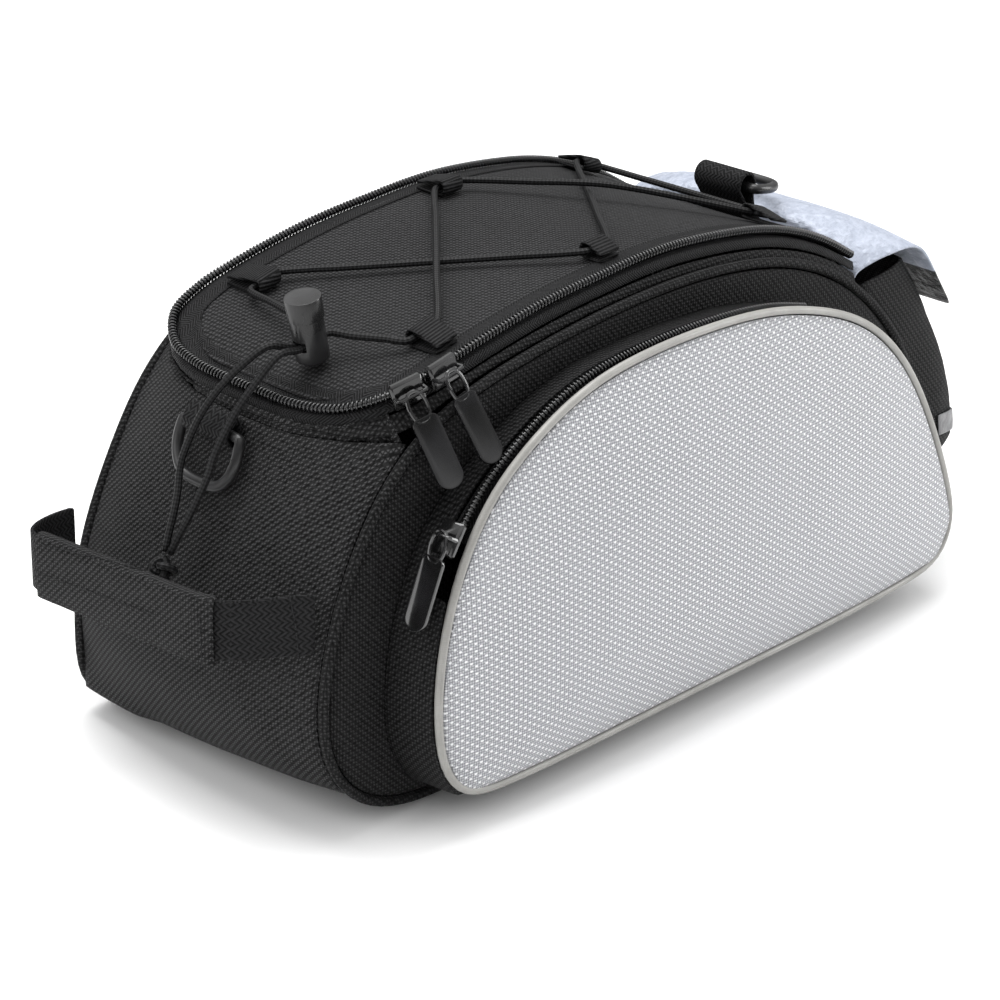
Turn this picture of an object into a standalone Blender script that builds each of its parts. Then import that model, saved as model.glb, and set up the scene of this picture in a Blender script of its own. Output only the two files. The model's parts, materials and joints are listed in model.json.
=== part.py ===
"""A soft rear rack bag: two hill shaped sides joined by a band, an arched zipped lid with
elastic lacing, a zipped side pocket on each side, a carry handle and ring on one end and a
flapped bottle pocket on the other. +X runs from the handle end to the bottle pocket, +Z is up,
and the origin is the centre of the flat base."""
import math

import bmesh
import bpy
from mathutils import Matrix, Vector

MM = 0.001

# Clearances and cloth
GAP = 0.3 * MM
CLOTH = 1.6 * MM
THIN_CLOTH = 1.0 * MM
WEBBING = 1.5 * MM

# Main body
BODY_LENGTH = 305 * MM
BODY_HEIGHT = 145 * MM
BODY_WIDTH = 118 * MM
FRONT_X = -161 * MM
SEAM_RADIUS = 1.9 * MM
LOOP_POINTS = 38
ZIP_POINTS = 38

# Lid, measured along its zip
LID_FRONT = -138 * MM
LID_LENGTH = 234 * MM
LID_HALF_WIDTH = 53 * MM
LID_RISE = 27.5 * MM
LID_FOOT = 129.5 * MM
LID_CROWN = -1 * MM
COIL_RADIUS = 1.7 * MM
TAPE_DROP = 5.5 * MM

# Side pockets
POCKET_FRONT = -134 * MM
POCKET_LENGTH = 270 * MM
POCKET_BASE = 11 * MM
POCKET_HEIGHT = 126 * MM
POCKET_DEPTH_LOW = 24 * MM
POCKET_DEPTH_TOP = 17 * MM
POCKET_BULGE = 8 * MM
POCKET_PIPING = 1.5 * MM

# Bottle pocket and its flap
BOTTLE_HALF_WIDTH = 54 * MM
FLAP_HALF_WIDTH = 59 * MM
STRIPE_HEIGHT = 8 * MM
STRIPE_THICK = 0.5 * MM

# Webbing, rings and handle
WEB_WIDTH = 21 * MM
ROLL_SHIFT = -2 * MM
RING_WIRE = 1.9 * MM
RING_WIDTH = 26.4 * MM
RING_DROP = 16.5 * MM
RING_SHIFT = 3 * MM
BAR_RISE = 0.6 * MM
HANDLE_REACH = 25 * MM
HANDLE_HEIGHT = 71.2 * MM
HANDLE_WEB = 19.6 * MM
HANDLE_TILT = 4.5 * MM
SLEEVE_START = -39 * MM
SLEEVE_END = 48 * MM
SLEEVE_CLOTH = 1.2 * MM

# Zip sliders and pulls
SLIDER_LENGTH = 11 * MM
SLIDER_WIDTH = 8.5 * MM
SLIDER_BODY = 2.6 * MM
SLIDER_SEAT = 0.4 * MM
BRIDGE_RISE = 2.6 * MM
BRIDGE_RADIUS = 0.7 * MM
KNUCKLE_RADIUS = 1.8 * MM
KNUCKLE_LENGTH = 4.6 * MM
PULL_LENGTH = 30 * MM
PULL_WIDTH = 8 * MM
PULL_THICK = 1.3 * MM

# Elastic lace and cord lock
CORD_RADIUS = 1.15 * MM
EYE_CLEAR = 0.9 * MM
LACE_STEPS = 2
TAB_WIDTH = 9 * MM
LOCK_RADIUS = 5.3 * MM
LOCK_HEIGHT = 15 * MM
LOCK_TRAVEL = 2 * MM
BUTTON_HEIGHT = 4.2 * MM
LOCK_LEAN = math.radians(12)

# Body side outline: shares of BODY_LENGTH (along) and BODY_HEIGHT (up)
SIDE_OUTLINE = [
    # along, up
    (0.130, 0.0), (0.090, 0.013), (0.043, 0.068), (0.018, 0.136), (0.003, 0.218),
    (0.0, 0.306), (0.007, 0.408), (0.023, 0.531), (0.049, 0.653), (0.078, 0.750),
    (0.112, 0.826), (0.161, 0.884), (0.223, 0.925), (0.295, 0.952), (0.387, 0.982),
    (0.531, 1.0), (0.669, 0.973), (0.777, 0.898), (0.849, 0.803), (0.911, 0.687),
    (0.954, 0.558), (0.984, 0.408), (1.0, 0.272), (0.990, 0.150), (0.954, 0.054),
    (0.895, 0.0), (0.721, 0.0), (0.525, 0.0), (0.328, 0.0),
]

# How far the far seam of the handle end sits behind the near one, in mm, at a height share
FAR_SHIFT = [
    # up, back
    (0.0, -27.0), (0.068, -12.0), (0.136, -3.0), (0.218, 0.0), (0.408, 2.0), (0.531, 4.5),
    (0.653, 6.0), (0.826, 5.5), (0.884, 3.0), (0.952, 0.0),
]

# Lid zip line: shares of LID_LENGTH (along), LID_HALF_WIDTH (across) and LID_RISE (up)
LID_ROWS = [
    # along, across, up
    (0.0, 0.48, 0.0), (0.008, 0.63, 0.03), (0.025, 0.80, 0.12), (0.055, 0.92, 0.25),
    (0.10, 0.985, 0.38), (0.18, 1.0, 0.57), (0.31, 1.0, 0.80), (0.43, 1.0, 0.92),
    (0.55, 1.0, 1.0), (0.68, 1.0, 0.95), (0.80, 1.0, 0.80), (0.91, 1.0, 0.50),
    (1.0, 1.0, 0.10),
]

# Pocket outline: shares of POCKET_LENGTH (along) and POCKET_HEIGHT (up)
POCKET_OUTLINE = [
    # along, up
    (0.040, 0.020), (0.010, 0.090), (0.0, 0.240), (0.004, 0.375), (0.022, 0.530),
    (0.058, 0.690), (0.103, 0.800), (0.179, 0.900), (0.255, 0.965), (0.36, 0.995),
    (0.48, 1.0), (0.58, 0.985), (0.665, 0.945), (0.735, 0.895), (0.80, 0.820),
    (0.855, 0.715), (0.900, 0.590), (0.938, 0.445), (0.970, 0.300), (0.995, 0.150),
    (0.990, 0.070), (0.945, 0.020), (0.74, 0.0), (0.46, 0.0), (0.20, 0.0),
]
# The zip runs over the top between these two outline places
POCKET_ZIP_LOW = (0.022, 0.530)
POCKET_ZIP_HIGH = (0.735, 0.895)

# Handle end panel down its centre: body outline height share, push out in mm, lift in mm
END_BULGE = [
    # height_share, out, lift
    (0.835, 20.5, -2.5), (0.745, 12.5, -1.0), (0.660, 8.5, 0.0), (0.550, 9.0, 0.0),
    (0.440, 8.0, 0.0), (0.330, 8.0, 0.0), (0.230, 8.0, 0.0), (0.130, 7.0, 0.0),
    (0.060, 4.5, 0.0), (0.0, 0.5, -0.3),
]

# Bottle pocket outer edge and the body side that it leaves, in mm from FRONT_X and the floor
BOTTLE_ROWS = [
    # outer_x, outer_z, body_share
    (290, 124, 0.800), (299, 113, 0.730), (308, 101, 0.665), (317, 88, 0.580),
    (324, 76, 0.500), (330, 62, 0.415), (334, 50, 0.340), (335, 43, 0.290),
    (330, 37, 0.262), (316, 35, 0.245),
]
# Flap: centre line from the lid hinge to the lip, half width share and how far its sides droop
FLAP_ROWS = [
    # x, z, half_share, droop (mm)
    (259.2, 133.7, 0.92, 11.0), (259.7, 138.0, 0.93, 12.5), (267, 140.5, 0.965, 11.5), (278, 138.5, 0.99, 8.0),
    (288, 134.5, 1.0, 4.0), (294, 129.5, 1.01, 2.0), (300, 121, 1.0, 1.0),
    (308, 111, 0.99, 0.5), (316, 101.5, 0.98, 0.0),
]

# Handle route: shares of HANDLE_REACH (out) and half BODY_WIDTH (across)
HANDLE_ROUTE = [
    # out, across
    (0.02, -0.945), (0.14, -0.905), (0.40, -0.82), (0.74, -0.72), (0.94, -0.62),
    (1.0, -0.48), (1.0, 0.0), (1.0, 0.48), (1.0, 0.78), (0.92, 0.87), (0.70, 0.925),
    (0.40, 0.95), (0.12, 0.945),
]

# Lace tabs: place along the lid zip and side
TAB_PLACES = {
    # name: along share of LID_LENGTH, side, reach in from the lid's edge in mm
    "lace_tab_near_1": (0.170, -1, 13), "lace_tab_near_2": (0.480, -1, 8.5),
    "lace_tab_near_3": (0.855, -1, 13), "lace_tab_far_1": (0.155, 1, 16),
    "lace_tab_far_2": (0.520, 1, 13), "lace_tab_far_3": (0.825, 1, 13),
}
TAB_ORDER = (
    "lace_tab_far_1", "lace_tab_near_2", "lace_tab_far_3",
    "lace_tab_near_3", "lace_tab_far_2", "lace_tab_near_1",
)

# Free tails of the lace, hand laid from the lock over the end face to the knot (mm)
LOCK_FOOT = Vector((-123.5 * MM, -14.2 * MM, 137.6 * MM))
TAIL_A = [
    (-138.0, -10.4, 144.2), (-144.5, -7.4, 140.0), (-150.5, -3.0, 132.5), (-155.6, 1.0, 123.0),
    (-159.2, 4.0, 112.0), (-161.2, 4.2, 106.0), (-164.0, 2.0, 100.0), (-166.8, 0.4, 95.0),
    (-169.9, -0.6, 88.6), (-172.0, -1.3, 83.7),
]
TAIL_B = [
    (-138.5, -15.4, 142.8), (-145.8, -13.4, 135.4), (-152.4, -11.0, 126.0),
    (-158.8, -9.6, 115.0), (-161.0, -8.8, 108.0), (-166.4, -6.6, 96.0), (-169.6, -4.9, 89.4), (-171.9, -3.4, 83.7),
]
KNOT_CENTRE = Vector((-173.6 * MM, -2.2 * MM, 78.4 * MM))
KNOT_RADIUS = 5.2 * MM

PARTS = None
CUTTERS = None


def clear_scene():
    for obj in list(bpy.data.objects):
        bpy.data.objects.remove(obj, do_unlink=True)


def make_collections():
    global PARTS, CUTTERS
    PARTS = bpy.data.collections.new("bicycle_pannier")
    CUTTERS = bpy.data.collections.new("pannier_cutters")
    bpy.context.scene.collection.children.link(PARTS)
    bpy.context.scene.collection.children.link(CUTTERS)


def material(name, colour, roughness, metallic=0.0):
    found = bpy.data.materials.get(name)
    if found:
        return found
    made = bpy.data.materials.new(name)
    made.use_nodes = True
    shader = made.node_tree.nodes["Principled BSDF"]
    shader.inputs["Base Color"].default_value = (*colour, 1.0)
    shader.inputs["Roughness"].default_value = roughness
    shader.inputs["Metallic"].default_value = metallic
    return made


def paint(obj):
    """Gives each piece the look of what it is made of, in a material of its own."""
    looks = [
        # part of the name, colour, roughness, metallic
        ("slider", (0.09, 0.09, 0.10), 0.22, 0.9), ("pull", (0.05, 0.05, 0.055), 0.22, 0.85),
        ("d_ring", (0.03, 0.03, 0.032), 0.35, 0.0), ("coil", (0.03, 0.03, 0.033), 0.35, 0.0),
        ("pocket_piping", (0.43, 0.42, 0.40), 0.45, 0.1), ("stripe", (0.55, 0.56, 0.57), 0.4, 0.2),
        ("pocket_panel", (0.56, 0.56, 0.60), 0.8, 0.0), ("flap", (0.62, 0.63, 0.68), 0.5, 0.2),
        ("cord_lock", (0.035, 0.035, 0.037), 0.4, 0.0), ("lace", (0.02, 0.02, 0.022), 0.5, 0.0),
        ("", (0.028, 0.028, 0.030), 0.85, 0.0),
    ]
    for key, colour, roughness, metallic in looks:
        if key in obj.name:
            obj.data.materials.append(material(obj.name + "_look", colour, roughness, metallic))
            return


def new_object(name, data, collection=None):
    obj = bpy.data.objects.new(name, data)
    (collection or PARTS).objects.link(obj)
    if collection is None:
        paint(obj)
    return obj


def solidify(obj, thickness):
    shell = obj.modifiers.new("thickness", "SOLIDIFY")
    shell.thickness = thickness
    shell.offset = 0.0
    shell.use_quality_normals = True


def sheet(name, rows, thickness, closed_rows=False, closed_columns=False, keep=None):
    """A cloth piece from a grid of points, as wide as each row, made solid about its middle."""
    mesh = bpy.data.meshes.new(name)
    build = bmesh.new()
    verts = [[build.verts.new(point) for point in row] for row in rows]
    last_row = len(rows) if closed_rows else len(rows) - 1
    width = len(rows[0])
    last_column = width if closed_columns else width - 1
    for i in range(last_row):
        for j in range(last_column):
            if keep and not keep(i, j):
                continue
            low, high = verts[i], verts[(i + 1) % len(rows)]
            build.faces.new((low[j], low[(j + 1) % width], high[(j + 1) % width], high[j]))
    loose = [vert for vert in build.verts if not vert.link_faces]
    bmesh.ops.delete(build, geom=loose, context="VERTS")
    bmesh.ops.recalc_face_normals(build, faces=build.faces)
    build.to_mesh(mesh)
    build.free()
    mesh.shade_smooth()
    obj = new_object(name, mesh)
    solidify(obj, thickness)
    return obj


def wire(name, points, radius, cyclic=False, detail=2, collection=None):
    curve = bpy.data.curves.new(name, "CURVE")
    curve.dimensions = "3D"
    curve.bevel_depth = radius
    curve.bevel_resolution = detail
    curve.use_fill_caps = True
    spline = curve.splines.new("POLY")
    spline.points.add(len(points) - 1)
    for place, point in zip(spline.points, points):
        place.co = (*point, 1.0)
    spline.use_cyclic_u = cyclic
    return new_object(name, curve, collection)


def plate(name, outline, thickness, frame, holes=(), collection=None):
    """A flat outline in the frame's XY plane, centred on it through its thickness."""
    curve = bpy.data.curves.new(name, "CURVE")
    curve.dimensions = "2D"
    curve.fill_mode = "BOTH"
    curve.extrude = thickness / 2
    for loop in (outline, *holes):
        spline = curve.splines.new("POLY")
        spline.points.add(len(loop) - 1)
        for place, (x, y) in zip(spline.points, loop):
            place.co = (x, y, 0.0, 1.0)
        spline.use_cyclic_u = True
    obj = new_object(name, curve, collection)
    obj.matrix_world = frame
    return obj


def as_mesh(obj):
    """Turns a curve object into a welded mesh, so that a Boolean can use it."""
    bpy.context.view_layer.update()
    graph = bpy.context.evaluated_depsgraph_get()
    mesh = bpy.data.meshes.new_from_object(obj.evaluated_get(graph))
    build = bmesh.new()
    build.from_mesh(mesh)
    bmesh.ops.remove_doubles(build, verts=build.verts, dist=0.00001)
    bmesh.ops.recalc_face_normals(build, faces=build.faces)
    build.to_mesh(mesh)
    build.free()
    name, frame, home = obj.name, obj.matrix_world.copy(), obj.users_collection[0]
    bpy.data.objects.remove(obj, do_unlink=True)
    made = bpy.data.objects.new(name, mesh)
    home.objects.link(made)
    made.matrix_world = frame
    return made


def cylinder(name, radius, height, frame, sides=20, collection=None):
    mesh = bpy.data.meshes.new(name)
    build = bmesh.new()
    bmesh.ops.create_cone(
        build, cap_ends=True, segments=sides, radius1=radius, radius2=radius, depth=height
    )
    build.to_mesh(mesh)
    build.free()
    obj = new_object(name, mesh, collection)
    obj.matrix_world = frame
    return obj


def box(name, size, frame, collection=None):
    mesh = bpy.data.meshes.new(name)
    build = bmesh.new()
    bmesh.ops.create_cube(build, size=1.0, matrix=Matrix.Diagonal((*size, 1.0)))
    build.to_mesh(mesh)
    build.free()
    obj = new_object(name, mesh, collection)
    obj.matrix_world = frame
    return obj


def combine(obj, other, operation):
    cut = obj.modifiers.new(other.name, "BOOLEAN")
    cut.operation = operation
    cut.object = other
    other.hide_render = True
    other.display_type = "WIRE"


def bevel(obj, width):
    edge = obj.modifiers.new("soft_edges", "BEVEL")
    edge.width = width
    edge.segments = 1
    edge.limit_method = "ANGLE"


def frame_of(origin, x_axis, z_axis):
    """A frame with its X along x_axis and its Z as near z_axis as it can be."""
    x_axis = Vector(x_axis).normalized()
    y_axis = Vector(z_axis).cross(x_axis).normalized()
    z_axis = x_axis.cross(y_axis)
    turned = Matrix((x_axis, y_axis, z_axis)).transposed().to_4x4()
    return Matrix.Translation(origin) @ turned


def spline_point(before, start, end, after, share):
    """A point on the smooth curve from start to end."""
    square, cube = share * share, share ** 3
    return 0.5 * (
        2 * start
        + (end - before) * share
        + (2 * before - 5 * start + 4 * end - after) * square
        + (3 * start - before - 3 * end + after) * cube
    )


def curve_through(points, steps, closed=False):
    """The smooth curve through the given points, in this many steps from each to the next."""
    points = [Vector(point) for point in points]
    size = len(points)
    fine = []
    for i in range(size if closed else size - 1):
        if closed:
            four = [points[(i + k) % size] for k in (-1, 0, 1, 2)]
        else:
            four = [points[min(max(i + k, 0), size - 1)] for k in (-1, 0, 1, 2)]
        fine.extend(spline_point(*four, step / steps) for step in range(steps))
    fine.append(points[0] if closed else points[-1])
    return fine


def smooth(points, count, closed=False):
    """Even points along the smooth curve through the given ones."""
    fine = curve_through(points, 12, closed)
    lengths = [0.0]
    for a, b in zip(fine[:-1], fine[1:]):
        lengths.append(lengths[-1] + (b - a).length)
    steps = count if closed else count - 1
    made, k = [], 0
    for i in range(count):
        goal = lengths[-1] * i / steps
        while k < len(fine) - 2 and lengths[k + 1] < goal:
            k += 1
        span = lengths[k + 1] - lengths[k]
        made.append(fine[k].lerp(fine[k + 1], (goal - lengths[k]) / span if span else 0.0))
    return made


def table_value(rows, key, column):
    """The column's value where the first column reaches key, on straight lines between rows."""
    rising = rows if rows[0][0] < rows[-1][0] else rows[::-1]
    for a, b in zip(rising[:-1], rising[1:]):
        if key <= b[0]:
            share = (key - a[0]) / (b[0] - a[0])
            return a[column] + share * (b[column] - a[column])
    return rising[-1][column]


def seam_z(up):
    """The base lies on the floor, so the seam piping's centre starts its radius above it."""
    return SEAM_RADIUS + GAP + up * BODY_HEIGHT


def seam_point(along, up):
    return Vector((FRONT_X + along * BODY_LENGTH, 0.0, seam_z(up)))


def far_shift(up, y):
    """How far back the handle end sits: nothing at the near seam, all of it at the far one."""
    return table_value(FAR_SHIFT, up, 1) * MM * (0.5 + 0.5 * y / band_half())


def seam_loop(side):
    """The body's seam line on one side, from the front of the base up over the lid and round."""
    y = side * band_half()
    points = [seam_point(*row) for row in SIDE_OUTLINE]
    for point, row in zip(points[:14], SIDE_OUTLINE):
        point.x += far_shift(row[1], y)
    return smooth(points, LOOP_POINTS, closed=True)


def normals_of(loop, closed=True):
    """Outward normals in the XZ plane of a loop that runs up the front and over the top."""
    made = []
    for i, point in enumerate(loop):
        if closed:
            along = loop[(i + 1) % len(loop)] - loop[i - 1]
        else:
            along = loop[min(i + 1, len(loop) - 1)] - loop[max(i - 1, 0)]
        made.append(Vector((-along.z, 0.0, along.x)).normalized())
    return made


def moved(loop, distance):
    return [point + normal * distance for point, normal in zip(loop, normals_of(loop))]


def with_y(point, y):
    return Vector((point.x, y, point.z))


def side_name(side):
    return "near" if side < 0 else "far"


def side_panels():
    upright = Matrix.Rotation(math.radians(90), 4, "X")
    for side in (-1, 1):
        inner = moved(seam_loop(side), -(SEAM_RADIUS + GAP))
        frame = Matrix.Translation((0, side * BODY_WIDTH / 2, 0)) @ upright
        plate(f"side_panel_{side_name(side)}", [(p.x, p.z) for p in inner], CLOTH, frame)


def seam_piping():
    for side in (-1, 1):
        points = [with_y(p, side * BODY_WIDTH / 2) for p in seam_loop(side)]
        wire(f"seam_piping_{side_name(side)}", points, SEAM_RADIUS, cyclic=True, detail=1)


def front_seam(up):
    """The seam on the handle end at this height share."""
    rows = [(row[1], row[0]) for row in SIDE_OUTLINE[:14]]
    return seam_point(table_value(rows, up, 1), up)


def rear_seam(up):
    rows = [(row[1], row[0]) for row in SIDE_OUTLINE[15:26]]
    return seam_point(table_value(rows, up, 1), up)


def across_places(half, count):
    return [half * (2 * k / (count - 1) - 1) for k in range(count)]


def band_half():
    return BODY_WIDTH / 2 - SEAM_RADIUS - GAP


def end_point(row, y):
    """A point on the handle end panel: the seam there, pushed out towards the middle."""
    up, out, lift = row
    share = 1 - abs(y / band_half()) ** 2.6
    seam = with_y(front_seam(up), y) + Vector((far_shift(up, y), 0.0, 0.0))
    return seam + Vector((-out, 0.0, lift)) * MM * share


def end_panel():
    rows = [[end_point(row, y) for y in across_places(band_half(), 11)] for row in END_BULGE]
    return sheet("end_panel", rows, CLOTH)


def base_point(x, y, height):
    """The base is flat on the floor and lifts to the seam at its two long edges."""
    rim = band_half() - abs(y)
    lift = max(0.0, 1 - rim / (6 * MM))
    return Vector((x, y, height + (seam_z(0) - CLOTH / 2) * lift * lift))


def base_panel():
    end = FRONT_X + 0.905 * BODY_LENGTH
    ys = [-band_half(), -band_half() + 3 * MM, -band_half() + 6 * MM, 0.0]
    ys += [-y for y in ys[2::-1]]
    rows = []
    for share in (0.0, 0.33, 0.67, 1.0):
        row = []
        for y in ys:
            start = end_point(END_BULGE[-1], y).x + CLOTH
            row.append(base_point(start + (end - start) * share, y, CLOTH / 2))
        rows.append(row)
    return sheet("base_panel", rows, CLOTH)


def rear_panel():
    """The band at the bottle pocket end, boxed up to the lid hinge at its top."""
    rows = []
    for k in range(9):
        up = 0.03 + (0.80 - 0.03) * k / 8
        rise = max(0.0, (up - 0.66) / 0.14)
        low = max(0.0, 1 - up / 0.12)
        row = []
        for y in across_places(band_half(), 9):
            share = 1 - abs(y / band_half()) ** 6
            push = Vector((1.0 * MM - 2.0 * MM * rise, 0.0, 13.5 * MM * rise - 1.6 * MM * low))
            row.append(with_y(rear_seam(up), y) + push * share)
        rows.append(row)
    return sheet("rear_panel", rows, CLOTH)


def lid_line(share):
    """The lid's half width and the height of its zip at this share of its length."""
    half = table_value(LID_ROWS, share, 1) * LID_HALF_WIDTH
    return half, LID_FOOT + table_value(LID_ROWS, share, 2) * LID_RISE


def zip_path(count):
    """The lid zip's centre: up one side from the hinge, round the front and back."""
    near = []
    for along, across, up in LID_ROWS[::-1]:
        x = LID_FRONT + along * LID_LENGTH
        near.append(Vector((x, -across * LID_HALF_WIDTH, LID_FOOT + up * LID_RISE)))
    middle = Vector((LID_FRONT - 1.0 * MM, 0.0, LID_FOOT - 0.5 * MM))
    far = [Vector((p.x, -p.y, p.z)) for p in near[::-1]]
    return smooth([*near, middle, *far], count)


def plan_normals(path):
    """Outward level normals of the zip path."""
    made = []
    for i, point in enumerate(path):
        along = path[min(i + 1, len(path) - 1)] - path[max(i - 1, 0)]
        made.append(Vector((along.y, -along.x, 0.0)).normalized())
    if made[0].y > 0:
        made = [-normal for normal in made]
    return made


def zip_ring(path, out, drop):
    return [p + n * out - Vector((0, 0, drop)) for p, n in zip(path, plan_normals(path))]


def lid_zip():
    path = zip_path(ZIP_POINTS)
    rings = [(-3.6, 2.2), (1.2, 2.7), (1.8, TAPE_DROP / MM)]
    rows = [zip_ring(path, out * MM, drop * MM) for out, drop in rings]
    sheet("lid_zip_tape", rows, THIN_CLOTH)
    wire("lid_zip_coil", path, COIL_RADIUS, detail=1)


def body_rim(point, normal):
    """Where the strip under the lid's tape meets the body, for one place on the zip path."""
    corner = front_seam(END_BULGE[0][0])
    half = band_half()
    if point.x > corner.x:
        up = top_share(point.x)
        edge = half - THIN_CLOTH / 2 - GAP
        return Vector((point.x, math.copysign(edge, point.y), seam_z(up) + 1.0 * MM))
    widest = lid_line((corner.x - LID_FRONT) / LID_LENGTH)[0]
    y = point.y / widest * (half - THIN_CLOTH / 2 - GAP)
    rim = end_point(END_BULGE[0], y)
    return rim + Vector((0.0, 0.0, CLOTH / 2 + GAP + 0.6 * MM))


def top_share(x):
    """The seam's height share over the top of the bag at this x."""
    rows = SIDE_OUTLINE[9:21]
    return table_value(rows, (x - FRONT_X) / BODY_LENGTH, 1)


def lid_gusset():
    path = zip_path(ZIP_POINTS)
    normals = plan_normals(path)
    top = zip_ring(path, 1.8 * MM, TAPE_DROP + 1.0 * MM)
    rim = [body_rim(p, n) for p, n in zip(path, normals)]
    middle = [a.lerp(b, 0.5) + n * 0.4 * MM for a, b, n in zip(top, rim, normals)]
    sheet("lid_gusset", [top, middle, rim], THIN_CLOTH)


def lid_panel():
    """The arched lid, crowned a little across."""
    rows = []
    shares = [row[0] for row in LID_ROWS]
    for share in shares:
        half, height = lid_line(share)
        half -= 5.0 * MM
        x = LID_FRONT + 5.0 * MM + share * (LID_LENGTH - 5.0 * MM)
        row = []
        for y in across_places(half, 7):
            crown = LID_CROWN * (1 - (y / half) ** 2) * min(1.0, 0.15 + 6 * share)
            row.append(Vector((x, y, height - 0.8 * MM + crown)))
        rows.append(row)
    return sheet("lid_panel", rows, CLOTH)


def lid_height(x, y):
    """The lid's middle surface under a place on it."""
    share = (x - LID_FRONT - 5.0 * MM) / (LID_LENGTH - 5.0 * MM)
    half, height = lid_line(share)
    half -= 5.0 * MM
    crown = LID_CROWN * (1 - (y / half) ** 2) * min(1.0, 0.15 + 6 * share)
    return height - 0.8 * MM + crown


def pocket_loop():
    points = [
        Vector((POCKET_FRONT + a * POCKET_LENGTH, 0.0, POCKET_BASE + u * POCKET_HEIGHT))
        for a, u in POCKET_OUTLINE
    ]
    return smooth(points, LOOP_POINTS, closed=True)


def pocket_depth(z):
    share = (z - POCKET_BASE) / POCKET_HEIGHT
    return POCKET_DEPTH_LOW + (POCKET_DEPTH_TOP - POCKET_DEPTH_LOW) * share


def nearest(loop, place):
    goal = Vector((
        POCKET_FRONT + place[0] * POCKET_LENGTH, 0.0, POCKET_BASE + place[1] * POCKET_HEIGHT
    ))
    return min(range(len(loop)), key=lambda i: (loop[i] - goal).length)


def loop_distance(point, loop):
    """How far a point lies from a closed loop's nearest straight piece."""
    found = []
    for a, b in zip(loop, loop[1:] + loop[:1]):
        along = b - a
        share = min(1.0, max(0.0, (point - a).dot(along) / along.length_squared))
        found.append((a + along * share - point).length)
    return min(found)


def pocket_foot(point, seam):
    """Where the pocket's wall meets the body: on its side panel, or over the seam piping."""
    over_seam = loop_distance(point, seam) < 2 * SEAM_RADIUS + 2 * MM
    return BODY_WIDTH / 2 + GAP + (SEAM_RADIUS if over_seam else CLOTH / 2)


def pocket_ring(share, side, lift=0.0):
    """The pocket's outline at a share of its depth from the body, lifted off its wall."""
    loop = pocket_loop()
    seam = seam_loop(side)
    made = []
    for point, normal in zip(loop, normals_of(loop)):
        depth = pocket_depth(point.z)
        foot = pocket_foot(point, seam)
        spread = (1 - share) * 2.0 * MM * (1 if normal.z < 0.6 else -1)
        out = point + normal * (spread + lift)
        if out.z < 3.0 * MM:
            out.z = 3.0 * MM
        made.append(Vector((out.x, side * (foot + share * (BODY_WIDTH / 2 + depth - foot)), out.z)))
    return made


def pocket_panel(side):
    """The face of a pocket, from rings that shrink to its middle and swell outward."""
    loop = pocket_loop()
    edge = moved(loop, -(POCKET_PIPING + GAP))
    centre = Vector((POCKET_FRONT + 0.47 * POCKET_LENGTH, 0.0, POCKET_BASE + 0.42 * POCKET_HEIGHT))
    rows = []
    for share in (1.0, 0.82, 0.45):
        row = []
        for point in edge:
            place = centre.lerp(point, share)
            swell = POCKET_BULGE * (1 - share ** 3.2)
            y = BODY_WIDTH / 2 + pocket_depth(place.z) + swell
            row.append(Vector((place.x, side * y, place.z)))
        rows.append(row)
    obj = sheet(f"pocket_panel_{side_name(side)}", rows, CLOTH, closed_columns=True)
    fill_centre(obj, len(edge))
    return obj


def fill_centre(obj, count):
    """Closes the last ring of a ringed sheet with one flat patch."""
    build = bmesh.new()
    build.from_mesh(obj.data)
    build.verts.ensure_lookup_table()
    ring = build.verts[len(build.verts) - count:]
    build.faces.new(ring)
    bmesh.ops.recalc_face_normals(build, faces=build.faces)
    build.to_mesh(obj.data)
    build.free()
    obj.data.shade_smooth()


def pocket_walls(side):
    """The gusset round a pocket, with the zip let into it over the top."""
    name = side_name(side)
    loop = pocket_loop()
    low = nearest(loop, POCKET_ZIP_LOW)
    high = nearest(loop, POCKET_ZIP_HIGH)
    shares = (0.0, 0.28, 0.50, 0.90)
    rings = [pocket_ring(share, side) for share in shares]
    count = len(loop)

    def outside_zip(i, j):
        return i < 2 or not low <= j < high

    sheet(f"pocket_gusset_{name}", rings, THIN_CLOTH, closed_columns=True, keep=outside_zip)
    inset = 1
    spans = [k for k in range(low + inset, high - inset + 1)]
    tape_shares = ((0.55, -0.4), (0.62, -2.3), (0.86, -2.3), (0.90, -1.4))
    rows = []
    for share, lift in tape_shares:
        ring = pocket_ring(share, side, lift * MM)
        rows.append([ring[k % count] for k in spans])
    sheet(f"pocket_zip_tape_{name}", rows, THIN_CLOTH)
    line = pocket_ring(0.74, side, 0.3 * MM)
    wire(f"pocket_zip_coil_{name}", [line[k % count] for k in spans], COIL_RADIUS, detail=1)


def pocket_pipings():
    for side in (-1, 1):
        points = [
            Vector((p.x, side * (BODY_WIDTH / 2 + pocket_depth(p.z)), p.z)) for p in pocket_loop()
        ]
        wire(f"pocket_piping_{side_name(side)}", points, POCKET_PIPING, cyclic=True, detail=1)


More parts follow.
